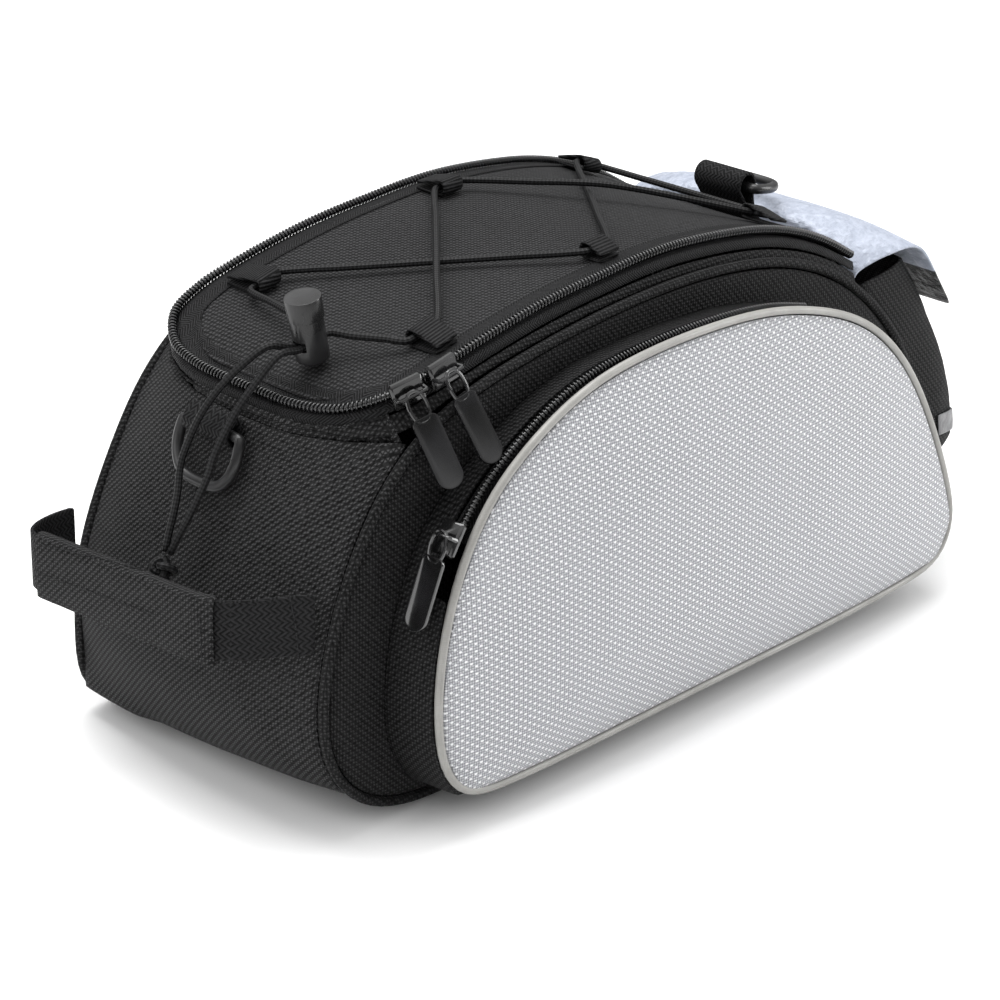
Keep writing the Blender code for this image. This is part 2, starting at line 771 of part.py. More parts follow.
def slider(name, place, along, outward, bar_across=False):
    """A zip slider: its body on the coil and a bridge bar on two posts, along it or across."""
    rise = COIL_RADIUS + SLIDER_SEAT + SLIDER_BODY / 2
    frame = frame_of(Vector(place) + Vector(outward).normalized() * rise, along, outward)
    body = box(name, (SLIDER_LENGTH, SLIDER_WIDTH, SLIDER_BODY), frame)
    bevel(body, 0.8 * MM)
    height = SLIDER_BODY / 2 + BRIDGE_RISE
    half = (SLIDER_WIDTH if bar_across else SLIDER_LENGTH) / 2 - BRIDGE_RADIUS
    points = [(-half, 0, 0), (-half, 0, height - 0.5 * MM), (-half + 0.5 * MM, 0, height)]
    points += [(-x, y, z) for x, y, z in points[::-1]]
    bar = as_mesh(wire(name + "_bridge", points, BRIDGE_RADIUS, detail=1, collection=CUTTERS))
    bar.matrix_world = frame @ Matrix.Rotation(math.radians(90 if bar_across else 0), 4, "Z")
    combine(body, bar, "UNION")
    return frame @ Vector((0, 0, height))


def pull(name, pivot, along, down):
    """A zip pull: a knuckle round the bridge bar and a plate that hangs from it."""
    frame = frame_of(pivot, along, Vector(along).cross(Vector(down)))
    half, neck = PULL_WIDTH / 2, KNUCKLE_LENGTH / 2
    local = frame.to_3x3().inverted() @ Vector(down)
    sign = 1 if local.y > 0 else -1
    swing = Matrix.Rotation(math.atan2(-local.x * sign, abs(local.y)), 4, "Z")
    start = KNUCKLE_RADIUS - 0.5 * MM
    outline = [
        (-neck, start), (-neck, 6 * MM), (-half, 9 * MM), (-half, PULL_LENGTH - 2 * MM),
        (-half + 2 * MM, PULL_LENGTH), (half - 2 * MM, PULL_LENGTH), (half, PULL_LENGTH - 2 * MM),
        (half, 9 * MM), (neck, 6 * MM), (neck, start),
    ]
    outline = [(x, y * sign) for x, y in outline]
    tab = as_mesh(plate(name + "_plate", outline, PULL_THICK, frame @ swing, (), CUTTERS))
    turned = frame @ Matrix.Rotation(math.radians(90), 4, "Y")
    knuckle = cylinder(name, KNUCKLE_RADIUS, KNUCKLE_LENGTH, turned, sides=12)
    bore = cylinder(
        name + "_bore", BRIDGE_RADIUS + GAP, KNUCKLE_LENGTH + 2 * MM, turned, 10, CUTTERS
    )
    combine(knuckle, tab, "UNION")
    combine(knuckle, bore, "DIFFERENCE")


def sliders_and_pulls():
    outward = Vector((0.0, -1.0, 0.12))
    hang = Vector((0.0, -0.44, -1.0))
    for letter, share in (("a", 0.070), ("b", 0.122)):
        half, height = lid_line(share)
        place = Vector((LID_FRONT + share * LID_LENGTH, -half, height))
        half_on, height_on = lid_line(share + 0.02)
        along = Vector((0.02 * LID_LENGTH, half - half_on, height_on - height))
        pivot = slider(f"lid_slider_{letter}", place, along, outward)
        pull(f"lid_pull_{letter}", pivot, along, hang)
    loop = pocket_loop()
    # The near pocket is closed to the handle end and the far one to the bottle end
    ends = (
        (-1, nearest(loop, POCKET_ZIP_LOW) + 1, Vector((-0.40, 0.0, -1.0))),
        (1, nearest(loop, POCKET_ZIP_HIGH) - 1, Vector((0.90, 0.0, -0.44))),
    )
    for side, place, hang in ends:
        line = pocket_ring(0.74, side, 0.3 * MM)
        along = line[place + 1] - line[place - 1]
        name = side_name(side)
        outward = normals_of(loop)[place]
        pivot = slider(f"pocket_slider_{name}", line[place], along, outward, bar_across=True)
        pull(f"pocket_pull_{name}", pivot, Vector((0, 1, 0)), hang)


def ring_points(width, drop):
    """A D shaped ring in its own plane: its bar on the Y axis and its bow hanging to -Z."""
    half = width / 2
    bow = [(-half, 0.0), (-half - 0.4 * MM, -0.45 * drop), (-0.84 * half, -0.82 * drop)]
    bow += [(-0.5 * half, -drop), (0.5 * half, -drop)]
    bow += [(-y, z) for y, z in bow[2::-1]]
    rounded = smooth([(0.0, y, z) for y, z in bow], 16)
    corner = 1.4 * MM
    return [(0.0, half - corner, BAR_RISE), (0.0, -half + corner, BAR_RISE)] + rounded


def d_ring(name, bar, lean):
    """lean turns the hanging ring about its bar, towards the outside of the bag."""
    frame = Matrix.Translation(bar) @ Matrix.Rotation(lean, 4, "Y")
    points = [frame @ Vector(p) for p in ring_points(RING_WIDTH, RING_DROP)]
    wire(name, points, RING_WIRE, cyclic=True, detail=1)


def loop_strip(name, centre, radius, tail, width, start, sweep, thickness=WEBBING):
    """A webbing loop about a bar: an arc round the centre and two tails to its seam."""
    arc = []
    for k in range(9):
        angle = start + sweep * k / 8
        arc.append(Vector((radius * math.cos(angle), 0.0, radius * math.sin(angle))) + centre)
    path = [tail[0], *arc, tail[1]]
    ends = (centre.y - width / 2, centre.y + width / 2)
    sheet(name, [[with_y(p, y) for y in ends] for p in path], thickness)


def rings():
    hold = RING_WIRE + GAP + WEBBING / 2
    front = Vector((FRONT_X + 11.6 * MM, RING_SHIFT, 117.0 * MM))
    d_ring("d_ring_front", front - Vector((0, 0, BAR_RISE)), math.radians(18))
    tail = (
        Vector((FRONT_X + 13.4 * MM, 0.0, front.z + 5.6 * MM)),
        Vector((FRONT_X + 15.2 * MM, 0.0, front.z + 4.4 * MM)),
    )
    loop_strip(
        "ring_tab_front", front, hold, tail, WEB_WIDTH, math.radians(152), math.radians(228)
    )
    rear = Vector((FRONT_X + 248.0 * MM, ROLL_SHIFT, 149.6 * MM))
    d_ring("d_ring_rear", rear + Vector((1.4, 0, -1.0)) * MM, math.radians(-82))
    roll = 4.6 * MM
    tail = (
        Vector((FRONT_X + 254.8 * MM, 0.0, 133.4 * MM)),
        Vector((FRONT_X + 252.6 * MM, 0.0, 134.6 * MM)),
    )
    loop_strip(
        "ring_tab_rear", rear, roll, tail, WEB_WIDTH, math.radians(-50), math.radians(300)
    )


def handle_path(count):
    seam = front_seam((HANDLE_HEIGHT - seam_z(0)) / BODY_HEIGHT)
    base = seam.x - CLOTH / 2 - GAP - WEBBING - 1.2 * MM
    points = []
    for out, across in HANDLE_ROUTE:
        y = across * BODY_WIDTH / 2
        z = HANDLE_HEIGHT - HANDLE_TILT * across
        points.append(Vector((base - out * HANDLE_REACH, y, z)))
    return smooth(points, count)


def handle():
    half = HANDLE_WEB / 2
    path = handle_path(25)
    rows = [[p - Vector((0, 0, half)), p + Vector((0, 0, half))] for p in path]
    sheet("handle_webbing", rows, WEBBING)
    covered = [p for p in path if SLEEVE_START < p.y < SLEEVE_END]
    out = WEBBING / 2 + GAP + SLEEVE_CLOTH / 2
    tall = half + GAP + SLEEVE_CLOTH / 2
    section = [(-out, -tall), (-out, tall), (out, tall), (out, -tall)]
    rows = []
    for p, n in zip(covered, plan_of(covered)):
        rows.append([p + n * side + Vector((0, 0, up)) for side, up in section])
    sheet("handle_sleeve", rows, SLEEVE_CLOTH, closed_columns=True)


def plan_of(path):
    made = []
    for i in range(len(path)):
        along = path[min(i + 1, len(path) - 1)] - path[max(i - 1, 0)]
        made.append(Vector((-along.y, along.x, 0.0)).normalized())
    return made


def tab_eye(name):
    """The centre of a lace tab's eye, which the lace runs through."""
    share, side, reach = TAB_PLACES[name]
    x = LID_FRONT + share * LID_LENGTH
    half, height = lid_line(share)
    y = side * (half - 4.5 * MM - reach * MM)
    lift = CLOTH / 2 + GAP + THIN_CLOTH + EYE_CLEAR + CORD_RADIUS
    return Vector((x, y, lid_height(x, y) + lift))


def along_lid(eye, step):
    """A step along the lid from a tab's eye, following the lid's slope there."""
    return Vector((step, 0.0, lid_height(eye.x + step, eye.y) - lid_height(eye.x, eye.y)))


def lace_tabs():
    for name, (share, side, reach) in TAB_PLACES.items():
        eye = tab_eye(name)
        radius = CORD_RADIUS + EYE_CLEAR + THIN_CLOTH / 2
        half, height = lid_line(share)
        root_y = side * (half - 6.5 * MM)
        root = Vector((eye.x, root_y, lid_height(eye.x, root_y) + CLOTH / 2 + GAP))
        path = [root + Vector((0, 0, THIN_CLOTH * 1.7 + 2 * GAP))]
        for k in range(7):
            angle = math.radians(90 + 180 * k / 6)
            swing = Vector((0.0, -side * -math.cos(angle), math.sin(angle))) * radius
            path.append(eye + swing)
        path.append(root + Vector((0, 0, THIN_CLOTH * 0.5)))
        ends = (-TAB_WIDTH / 2, TAB_WIDTH / 2)
        sheet(name, [[p + along_lid(eye, x) for x in ends] for p in path], THIN_CLOTH)


def lock_frame():
    return Matrix.Translation(LOCK_FOOT) @ Matrix.Rotation(-LOCK_LEAN, 4, "Y")


def cord_lock():
    """A barrel on the lid with a cross slot for the two cords and a sprung button."""
    frame = lock_frame()
    middle = frame @ Matrix.Translation((0, 0, LOCK_HEIGHT / 2))
    barrel = cylinder("cord_lock_body", LOCK_RADIUS, LOCK_HEIGHT, middle, sides=16)
    bevel(barrel, 0.6 * MM)
    slot_height = 2 * CORD_RADIUS + 2 * GAP
    slot_width = 4 * CORD_RADIUS + 4 * GAP
    slot = box(
        "lock_slot", (3 * LOCK_RADIUS, slot_width, slot_height),
        frame @ Matrix.Translation((0, 0, slot_middle())), CUTTERS,
    )
    stem_radius = LOCK_RADIUS - 1.8 * MM
    stem_low = slot_middle() + slot_height / 2 + 0.8 * MM
    bore_low = stem_low - LOCK_TRAVEL + 0.8 * MM
    depth = LOCK_HEIGHT - bore_low + 1 * MM
    bore = cylinder(
        "lock_bore", stem_radius + GAP, depth,
        frame @ Matrix.Translation((0, 0, bore_low + depth / 2)), 16, CUTTERS,
    )
    combine(barrel, slot, "DIFFERENCE")
    combine(barrel, bore, "DIFFERENCE")
    cap_low = LOCK_HEIGHT + LOCK_TRAVEL + GAP
    cap = frame @ Matrix.Translation((0, 0, cap_low + BUTTON_HEIGHT / 2))
    button = cylinder("cord_lock_button", LOCK_RADIUS, BUTTON_HEIGHT, cap, sides=16)
    bevel(button, 0.7 * MM)
    stem_low = bore_low + LOCK_TRAVEL + GAP
    length = cap_low + 1 * MM - stem_low
    stem = cylinder(
        "lock_stem", stem_radius, length,
        frame @ Matrix.Translation((0, 0, stem_low + length / 2)), 16, CUTTERS,
    )
    combine(button, stem, "UNION")


def slot_middle():
    return 6.4 * MM


def lock_port(direction, side):
    """The end of a cord inside the lock: direction -1 leaves to the front, 1 to the lid."""
    spread = CORD_RADIUS + GAP / 2 + 0.1 * MM
    start = Vector((direction * GAP / 2, side * spread, slot_middle()))
    end = Vector((direction * (LOCK_RADIUS + 1.0 * MM), side * spread, slot_middle()))
    frame = lock_frame()
    return frame @ start, frame @ end


def lace_route():
    """The lace's own points: from the lock through the six tabs and back to the lock."""
    start, leave = lock_port(1, 1)
    finish, enter = lock_port(1, -1)
    return [start, leave], [tab_eye(name) for name in TAB_ORDER], [enter, finish]


def over_lid(a, b, lift):
    """Points between two tabs, kept just above the crowned lid."""
    made = []
    for share in (0.25, 0.5, 0.75):
        p = a.lerp(b, share)
        rest = CLOTH / 2 + GAP + CORD_RADIUS + 0.8 * MM
        height = lid_height(p.x, p.y) + rest + lift * math.sin(share * math.pi)
        made.append(Vector((p.x, p.y, max(height, p.z))))
    return made


def bungee_lace():
    first, eyes, last = lace_route()
    half = TAB_WIDTH / 2 + 1.8 * MM
    # Which way the lace passes each eye, and how high it rides on the way there (mm)
    passes = ((1, 0.0), (1, 0.0), (1, 0.0), (-1, 0.0), (-1, 3.2), (-1, 3.2))
    points = list(first)
    for eye, (direction, lift) in zip(eyes, passes):
        start = eye + along_lid(eye, -half * direction)
        end = eye + along_lid(eye, half * direction)
        points += over_lid(points[-1], start, lift * MM)
        points += [start, eye, end]
    points += over_lid(points[-1], last[0], 3.2 * MM)
    points += last
    wire("bungee_lace", curve_through(points, LACE_STEPS), CORD_RADIUS, detail=1)


def tails():
    for name, side, route in (("tail_strand_a", 1, TAIL_A), ("tail_strand_b", -1, TAIL_B)):
        start, leave = lock_port(-1, side)
        points = [start, leave] + [Vector(p) * MM for p in route]
        wire(name, smooth(points, 21), CORD_RADIUS, detail=1)
    mesh = bpy.data.meshes.new("tail_knot")
    build = bmesh.new()
    shape = Matrix.Diagonal((0.9, 1.15, 1.05, 1.0))
    bmesh.ops.create_uvsphere(build, u_segments=12, v_segments=8, radius=KNOT_RADIUS, matrix=shape)
    build.to_mesh(mesh)
    build.free()
    mesh.shade_smooth()
    new_object("tail_knot", mesh).location = KNOT_CENTRE


def bottle_ring(row):
    """One level of the bottle pocket: out from the body, round the outer face and back."""
    outer_x, outer_z, share = row
    seam = rear_seam(share)
    clear = SEAM_RADIUS + GAP + THIN_CLOTH
    inner = seam + Vector((clear, 0.0, clear * 0.5))
    outer = Vector((FRONT_X + outer_x * MM, 0.0, outer_z * MM))
    half, corner = BOTTLE_HALF_WIDTH, 5 * MM
    near = [with_y(inner, -half), with_y(inner.lerp(outer, 0.5), -half - 1.0 * MM)]
    reach = min(corner, (outer - inner).length * 0.4)
    back = (inner - outer).normalized() * reach
    near += [with_y(outer + back, -half), with_y(outer + back * 0.25, -half + 1.3 * MM)]
    near += [with_y(outer, -half + corner), with_y(outer, -half * 0.5)]
    far = [Vector((p.x, -p.y, p.z)) for p in near[::-1]]
    return near + [with_y(outer + Vector((1.5 * MM, 0, 0)), 0.0)] + far


def bottle_pocket():
    sheet("bottle_pocket", [bottle_ring(row) for row in BOTTLE_ROWS], THIN_CLOTH)
    rows = []
    for share in (0.365, 0.335, 0.305):
        keys = [(r[2], r[0], r[1]) for r in BOTTLE_ROWS]
        row = (table_value(keys, share, 1), table_value(keys, share, 2), share)
        ring = bottle_ring(row)[1:-1]
        lift = THIN_CLOTH / 2 + GAP + STRIPE_THICK / 2
        out = plan_of(ring)
        middle = sum(ring, Vector()) / len(ring)
        rows.append([p + (n if n.dot(p - middle) > 0 else -n) * lift for p, n in zip(ring, out)])
    sheet("reflective_stripe", rows, STRIPE_THICK)


def bottle_flap():
    rows = []
    for x, z, half_share, droop in FLAP_ROWS:
        half = half_share * FLAP_HALF_WIDTH
        row = []
        for y in across_places(half, 9):
            fall = droop * MM * abs(y / half) ** 5
            row.append(Vector((FRONT_X + x * MM, y, z * MM - fall)))
        rows.append(row)
    sheet("bottle_flap", rows, THIN_CLOTH)


def build():
    clear_scene()
    make_collections()
    side_panels()
    seam_piping()
    end_panel()
    base_panel()
    rear_panel()
    lid_panel()
    lid_zip()
    lid_gusset()
    for side in (-1, 1):
        pocket_panel(side)
        pocket_walls(side)
    pocket_pipings()
    sliders_and_pulls()
    rings()
    handle()
    lace_tabs()
    cord_lock()
    bungee_lace()
    tails()
    bottle_pocket()
    bottle_flap()


build()
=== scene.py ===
"""Looks of a bicycle pannier: a black rear-rack bag with grey side pockets, a bottle pocket and an elastic lace."""
import json
import math

import bmesh
import bpy
from mathutils import Matrix, Vector, noise
from mathutils.bvhtree import BVHTree

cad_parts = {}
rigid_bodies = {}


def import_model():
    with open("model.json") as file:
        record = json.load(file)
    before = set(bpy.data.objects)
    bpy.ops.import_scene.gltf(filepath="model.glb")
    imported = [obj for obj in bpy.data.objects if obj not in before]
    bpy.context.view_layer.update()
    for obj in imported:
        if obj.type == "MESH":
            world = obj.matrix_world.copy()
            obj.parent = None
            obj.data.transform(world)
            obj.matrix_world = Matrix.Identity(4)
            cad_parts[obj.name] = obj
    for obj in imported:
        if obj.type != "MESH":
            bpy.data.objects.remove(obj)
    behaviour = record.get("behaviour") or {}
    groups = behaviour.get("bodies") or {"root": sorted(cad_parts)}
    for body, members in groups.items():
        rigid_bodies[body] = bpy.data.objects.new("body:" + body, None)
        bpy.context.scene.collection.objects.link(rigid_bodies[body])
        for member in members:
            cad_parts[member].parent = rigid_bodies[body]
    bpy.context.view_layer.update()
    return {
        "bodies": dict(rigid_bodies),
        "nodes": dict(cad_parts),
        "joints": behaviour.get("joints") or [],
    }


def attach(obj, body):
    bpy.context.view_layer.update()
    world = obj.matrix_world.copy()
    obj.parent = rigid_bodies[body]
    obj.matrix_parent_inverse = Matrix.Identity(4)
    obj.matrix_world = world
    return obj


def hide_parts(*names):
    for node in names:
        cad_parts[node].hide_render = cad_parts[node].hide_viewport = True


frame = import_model()
MM = 0.001
BAG = "bag"
BODY_OF = {name: body.name.split(":", 1)[1] for body in frame["bodies"].values() for name in [o.name for o in body.children]}

# ---------------------------------------------------------------- camera and light
CAMERA_PLACE = Vector((-0.62287, -0.55995, 0.42121))
CAMERA_AXES = ((0.69241, -0.72079, 0.03204), (0.27324, 0.30306, 0.91296), (-0.66777, -0.62339, 0.40678))
LENS = 93.6
SENSOR = 36.0
PHOTO_SIZE = 1000.0


def make_camera():
    data = bpy.data.cameras.new("camera")
    data.lens = LENS
    data.sensor_width = SENSOR
    data.clip_end = 50.0
    camera = bpy.data.objects.new("camera", data)
    turn = Matrix([[CAMERA_AXES[c][r] for c in range(3)] for r in range(3)]).to_4x4()
    camera.matrix_world = Matrix.Translation(CAMERA_PLACE) @ turn
    bpy.context.scene.collection.objects.link(camera)
    bpy.context.scene.camera = camera


def photo_ray(x, y):
    """The direction from the camera through a place of the photograph."""
    across = (x - PHOTO_SIZE / 2) / PHOTO_SIZE * SENSOR / LENS
    up = (PHOTO_SIZE / 2 - y) / PHOTO_SIZE * SENSOR / LENS
    right, above, back = (Vector(axis) for axis in CAMERA_AXES)
    return (right * across + above * up - back).normalized()


def area_light(name, place, target, size, power, colour=(1.0, 1.0, 1.0)):
    data = bpy.data.lights.new(name, "AREA")
    data.shape = "RECTANGLE"
    data.size, data.size_y = size
    data.energy = power
    data.color = colour
    light = bpy.data.objects.new(name, data)
    light.location = place
    light.rotation_euler = (Vector(target) - Vector(place)).to_track_quat("-Z", "Y").to_euler()
    bpy.context.scene.collection.objects.link(light)


def make_studio():
    world = bpy.data.worlds.new("studio_white")
    world.use_nodes = True
    tree = world.node_tree
    direction = add(tree, "ShaderNodeTexCoord").outputs["Generated"]
    height = add(tree, "ShaderNodeSeparateXYZ", {0: direction}).outputs[2]
    dome = ranged(tree, height, 0.05, 0.85, 0.12, 1.25)
    seen = add(tree, "ShaderNodeLightPath").outputs["Is Camera Ray"]
    tree.links.new(mixed(tree, seen, dome, (1.0, 1.0, 1.0)), tree.nodes["Background"].inputs["Color"])
    bpy.context.scene.world = world
    bpy.context.scene.view_settings.view_transform = "Standard"
    area_light("top_softbox", (0.05, 0.25, 1.3), (0.0, 0.0, 0.1), (1.1, 0.9), 16.0)
    area_light("left_softbox", (-1.1, 0.25, 0.65), (-0.1, 0.0, 0.08), (0.6, 0.9), 4.0)
    area_light("near_softbox", (1.15, -0.85, 0.5), (0.05, 0.0, 0.08), (0.6, 0.7), 9.0)
    bpy.ops.mesh.primitive_plane_add(size=14.0, location=(0, 0, -0.0004))
    floor = bpy.context.object
    floor.name = "studio_floor"
    floor.data.materials.append(floor_paper())


# ---------------------------------------------------------------- node helpers
def add(tree, kind, inputs=None, **settings):
    made = tree.nodes.new(kind)
    for key, value in settings.items():
        setattr(made, key, value)
    for key, value in (inputs or {}).items():
        if isinstance(value, bpy.types.NodeSocket):
            tree.links.new(value, made.inputs[key])
        else:
            made.inputs[key].default_value = value
    return made


def maths(tree, operation, *values):
    return add(tree, "ShaderNodeMath", dict(enumerate(values)), operation=operation).outputs[0]


def ranged(tree, value, low, high, out_low=0.0, out_high=1.0):
    inputs = {"Value": value, "From Min": low, "From Max": high, "To Min": out_low, "To Max": out_high}
    return add(tree, "ShaderNodeMapRange", inputs, interpolation_type="SMOOTHSTEP").outputs[0]


def mixed(tree, share, a, b):
    made = tree.nodes.new("ShaderNodeMix")
    made.data_type = "RGBA"
    for socket, value in ((made.inputs[0], share), (made.inputs[6], a), (made.inputs[7], b)):
        if isinstance(value, bpy.types.NodeSocket):
            tree.links.new(value, socket)
        else:
            socket.default_value = (*value, 1.0) if isinstance(value, tuple) else value
    return made.outputs[2]


def new_group(name, inputs, outputs):
    tree = bpy.data.node_groups.new(name, "ShaderNodeTree")
    for key, kind, value in inputs:
        socket = tree.interface.new_socket(key, in_out="INPUT", socket_type="NodeSocket" + kind)
        if value is not None:
            socket.default_value = value
    for key, kind in outputs:
        tree.interface.new_socket(key, in_out="OUTPUT", socket_type="NodeSocket" + kind)
    return tree, tree.nodes.new("NodeGroupInput"), tree.nodes.new("NodeGroupOutput")


def finish_group(tree, end, **values):
    for key, value in values.items():
        tree.links.new(value, end.inputs[key.replace("_", " ")])
    return tree


def plain_weave():
    """Threads over and under each other: height, and which thread is on top."""
    tree, start, end = new_group("plain_weave", [("Place", "Vector", None), ("Pitch", "Float", 0.001)], [("Height", "Float"), ("Over", "Float"), ("Twill", "Float")])
    split = add(tree, "ShaderNodeSeparateXYZ", {0: start.outputs["Place"]})
    waves, turned = [], []
    for axis in (0, 1):
        turns = maths(tree, "DIVIDE", split.outputs[axis], start.outputs["Pitch"])
        turned.append(turns)
        waves.append(maths(tree, "SINE", maths(tree, "MULTIPLY", turns, math.pi)))
    product = maths(tree, "MULTIPLY", *waves)
    height = maths(tree, "POWER", maths(tree, "ABSOLUTE", product), 0.6)
    lean = maths(tree, "ADD", turned[0], turned[1])
    twill = ranged(tree, maths(tree, "SINE", maths(tree, "MULTIPLY", lean, math.pi)), -0.7, 0.9)
    return finish_group(tree, end, Height=height, Over=ranged(tree, product, -0.25, 0.25), Twill=twill)


def dobby_dots():
    """A staggered grid of small raised lozenges."""
    tree, start, end = new_group("dobby_dots", [("Place", "Vector", None), ("Across", "Float", 0.0043), ("Down", "Float", 0.0026)], [("Dot", "Float")])
    split = add(tree, "ShaderNodeSeparateXYZ", {0: start.outputs["Place"]})
    waves = []
    for axis, key in ((0, "Across"), (1, "Down")):
        turns = maths(tree, "DIVIDE", split.outputs[axis], start.outputs[key])
        waves.append(maths(tree, "COSINE", maths(tree, "MULTIPLY", turns, 2 * math.pi)))
    return finish_group(tree, end, Dot=ranged(tree, maths(tree, "MULTIPLY", *waves), 0.35, 0.85))


def herringbone():
    """Ribs that lean one way and then the other, in bands of the given width."""
    tree, start, end = new_group("herringbone", [("Place", "Vector", None), ("Pitch", "Float", 0.001), ("Band", "Float", 0.004)], [("Rib", "Float")])
    split = add(tree, "ShaderNodeSeparateXYZ", {0: start.outputs["Place"]})
    fold = maths(tree, "PINGPONG", split.outputs[1], start.outputs["Band"])
    turns = maths(tree, "DIVIDE", maths(tree, "ADD", split.outputs[0], fold), start.outputs["Pitch"])
    wave = maths(tree, "SINE", maths(tree, "MULTIPLY", turns, 2 * math.pi))
    return finish_group(tree, end, Rib=ranged(tree, wave, -0.9, 0.9))


def uneven_dye():
    """Slow and fine noise, each from 0 to 1: uneven dyeing in most finishes, and in the coated ones the crinkle relief
    whose painted highlight and shade the colour follows.
    """
    tree, start, end = new_group("uneven_dye", [("Place", "Vector", None), ("Cloud", "Float", 18.0), ("Grain", "Float", 900.0)], [("Clouds", "Float"), ("Grains", "Float")])
    made = []
    for key, detail in (("Cloud", 3.0), ("Grain", 2.0)):
        found = add(tree, "ShaderNodeTexNoise", {"Vector": start.outputs["Place"], "Scale": start.outputs[key], "Detail": detail})
        made.append(ranged(tree, found.outputs[0], 0.3, 0.7))
    return finish_group(tree, end, Clouds=made[0], Grains=made[1])


GROUPS = {}


def use_group(tree, maker, **inputs):
    if maker.__name__ not in GROUPS:
        GROUPS[maker.__name__] = maker()
    made = tree.nodes.new("ShaderNodeGroup")
    made.node_tree = GROUPS[maker.__name__]
    for key, value in inputs.items():
        if isinstance(value, bpy.types.NodeSocket):
            tree.links.new(value, made.inputs[key])
        else:
            made.inputs[key].default_value = value
    return made.outputs


def new_material(name, roughness, metallic=0.0, specular=0.5, sheen=0.0, coat=0.0):
    made = bpy.data.materials.new(name)
    made.use_nodes = True
    shader = made.node_tree.nodes["Principled BSDF"]
    settings = {"Roughness": roughness, "Metallic": metallic, "Specular IOR Level": specular, "Coat Weight": coat, "Coat Roughness": 0.12}
    if sheen:
        settings.update({"Sheen Weight": sheen, "Sheen Roughness": 0.45})
    for key, value in settings.items():
        shader.inputs[key].default_value = value
    return made, made.node_tree, shader


def set_bump(tree, shader, height, strength, distance):
    bump = add(tree, "ShaderNodeBump", {"Height": height, "Strength": strength, "Distance": distance})
    tree.links.new(bump.outputs[0], shader.inputs["Normal"])


def sum_of(tree, *weighted):
    """Values times their weights, added up."""
    total = None
    for value, weight in weighted:
        part = maths(tree, "MULTIPLY", value, weight)
        total = part if total is None else maths(tree, "ADD", total, part)
    return total


# ---------------------------------------------------------------- finishes
def woven_cloth(name, dark, light, pitch, roughness=0.66, sheen=0.0, relief=0.35 * MM, strength=0.8, twill=0.55):
    """Coarse woven polyester of round threads: colour painted lighter on the thread crowns as a highlight and darker
    in the gaps and twill grooves as shade, with clouds of uneven dyeing and slubs.
    """
    material, tree, shader = new_material(name, roughness, sheen=sheen, specular=0.07)
    place = add(tree, "ShaderNodeUVMap", uv_map="weave").outputs[0]
    solid = add(tree, "ShaderNodeTexCoord").outputs["Object"]
    threads = use_group(tree, plain_weave, Place=place, Pitch=pitch)
    mottle = use_group(tree, uneven_dye, Place=solid)
    # thread height, cut down along the twill lines: it drives the bump and the painted shade in the gaps and twill
    # grooves
    thread = maths(tree, "MULTIPLY", threads["Height"], ranged(tree, threads["Twill"], 0.0, 1.0, 1.0 - twill, 1.0))
    painted_thread_light = maths(tree, "POWER", thread, 1.9)
    # colour: painted highlight on the thread crowns and painted shade between them, plus real dye clouds and slubs
    painted_light_and_mottle = sum_of(tree, (painted_thread_light, 0.85), (mottle["Clouds"], 0.05), (mottle["Grains"], 0.18))
    tree.links.new(mixed(tree, painted_light_and_mottle, dark, light), shader.inputs["Base Color"])
    tree.links.new(ranged(tree, mottle["Grains"], 0.0, 1.0, roughness - 0.08, roughness + 0.08), shader.inputs["Roughness"])
    height = sum_of(tree, (thread, 1.0), (mottle["Grains"], 0.3))
    set_bump(tree, shader, height, strength, relief)
    return material


def dobby_cloth():
    """Light grey cloth with a staggered grid of raised shiny dots."""
    material, tree, shader = new_material("grey_cloth_look", 0.55, specular=0.5, sheen=0.08)
    place = add(tree, "ShaderNodeUVMap", uv_map="weave").outputs[0]
    solid = add(tree, "ShaderNodeTexCoord").outputs["Object"]
    dots = use_group(tree, dobby_dots, Place=place, Across=0.0038, Down=0.00245)
    threads = use_group(tree, plain_weave, Place=place, Pitch=0.0009)
    mottle = use_group(tree, uneven_dye, Place=solid)
    # painted shade and highlight: the ground is coloured dark in the gaps between threads and light on their crowns
    ground = mixed(tree, threads["Height"], (0.10, 0.104, 0.115), (0.52, 0.525, 0.55))
    dotted = mixed(tree, dots["Dot"], ground, (0.86, 0.86, 0.88))
    shaded = mixed(tree, maths(tree, "MULTIPLY", mottle["Clouds"], 0.12), dotted, (0.42, 0.43, 0.46))
    tree.links.new(shaded, shader.inputs["Base Color"])
    tree.links.new(ranged(tree, dots["Dot"], 0.0, 1.0, 0.62, 0.42), shader.inputs["Roughness"])
    height = sum_of(tree, (dots["Dot"], 1.0), (threads["Height"], 0.35), (mottle["Grains"], 0.1))
    set_bump(tree, shader, height, 0.8, 0.3 * MM)
    return material


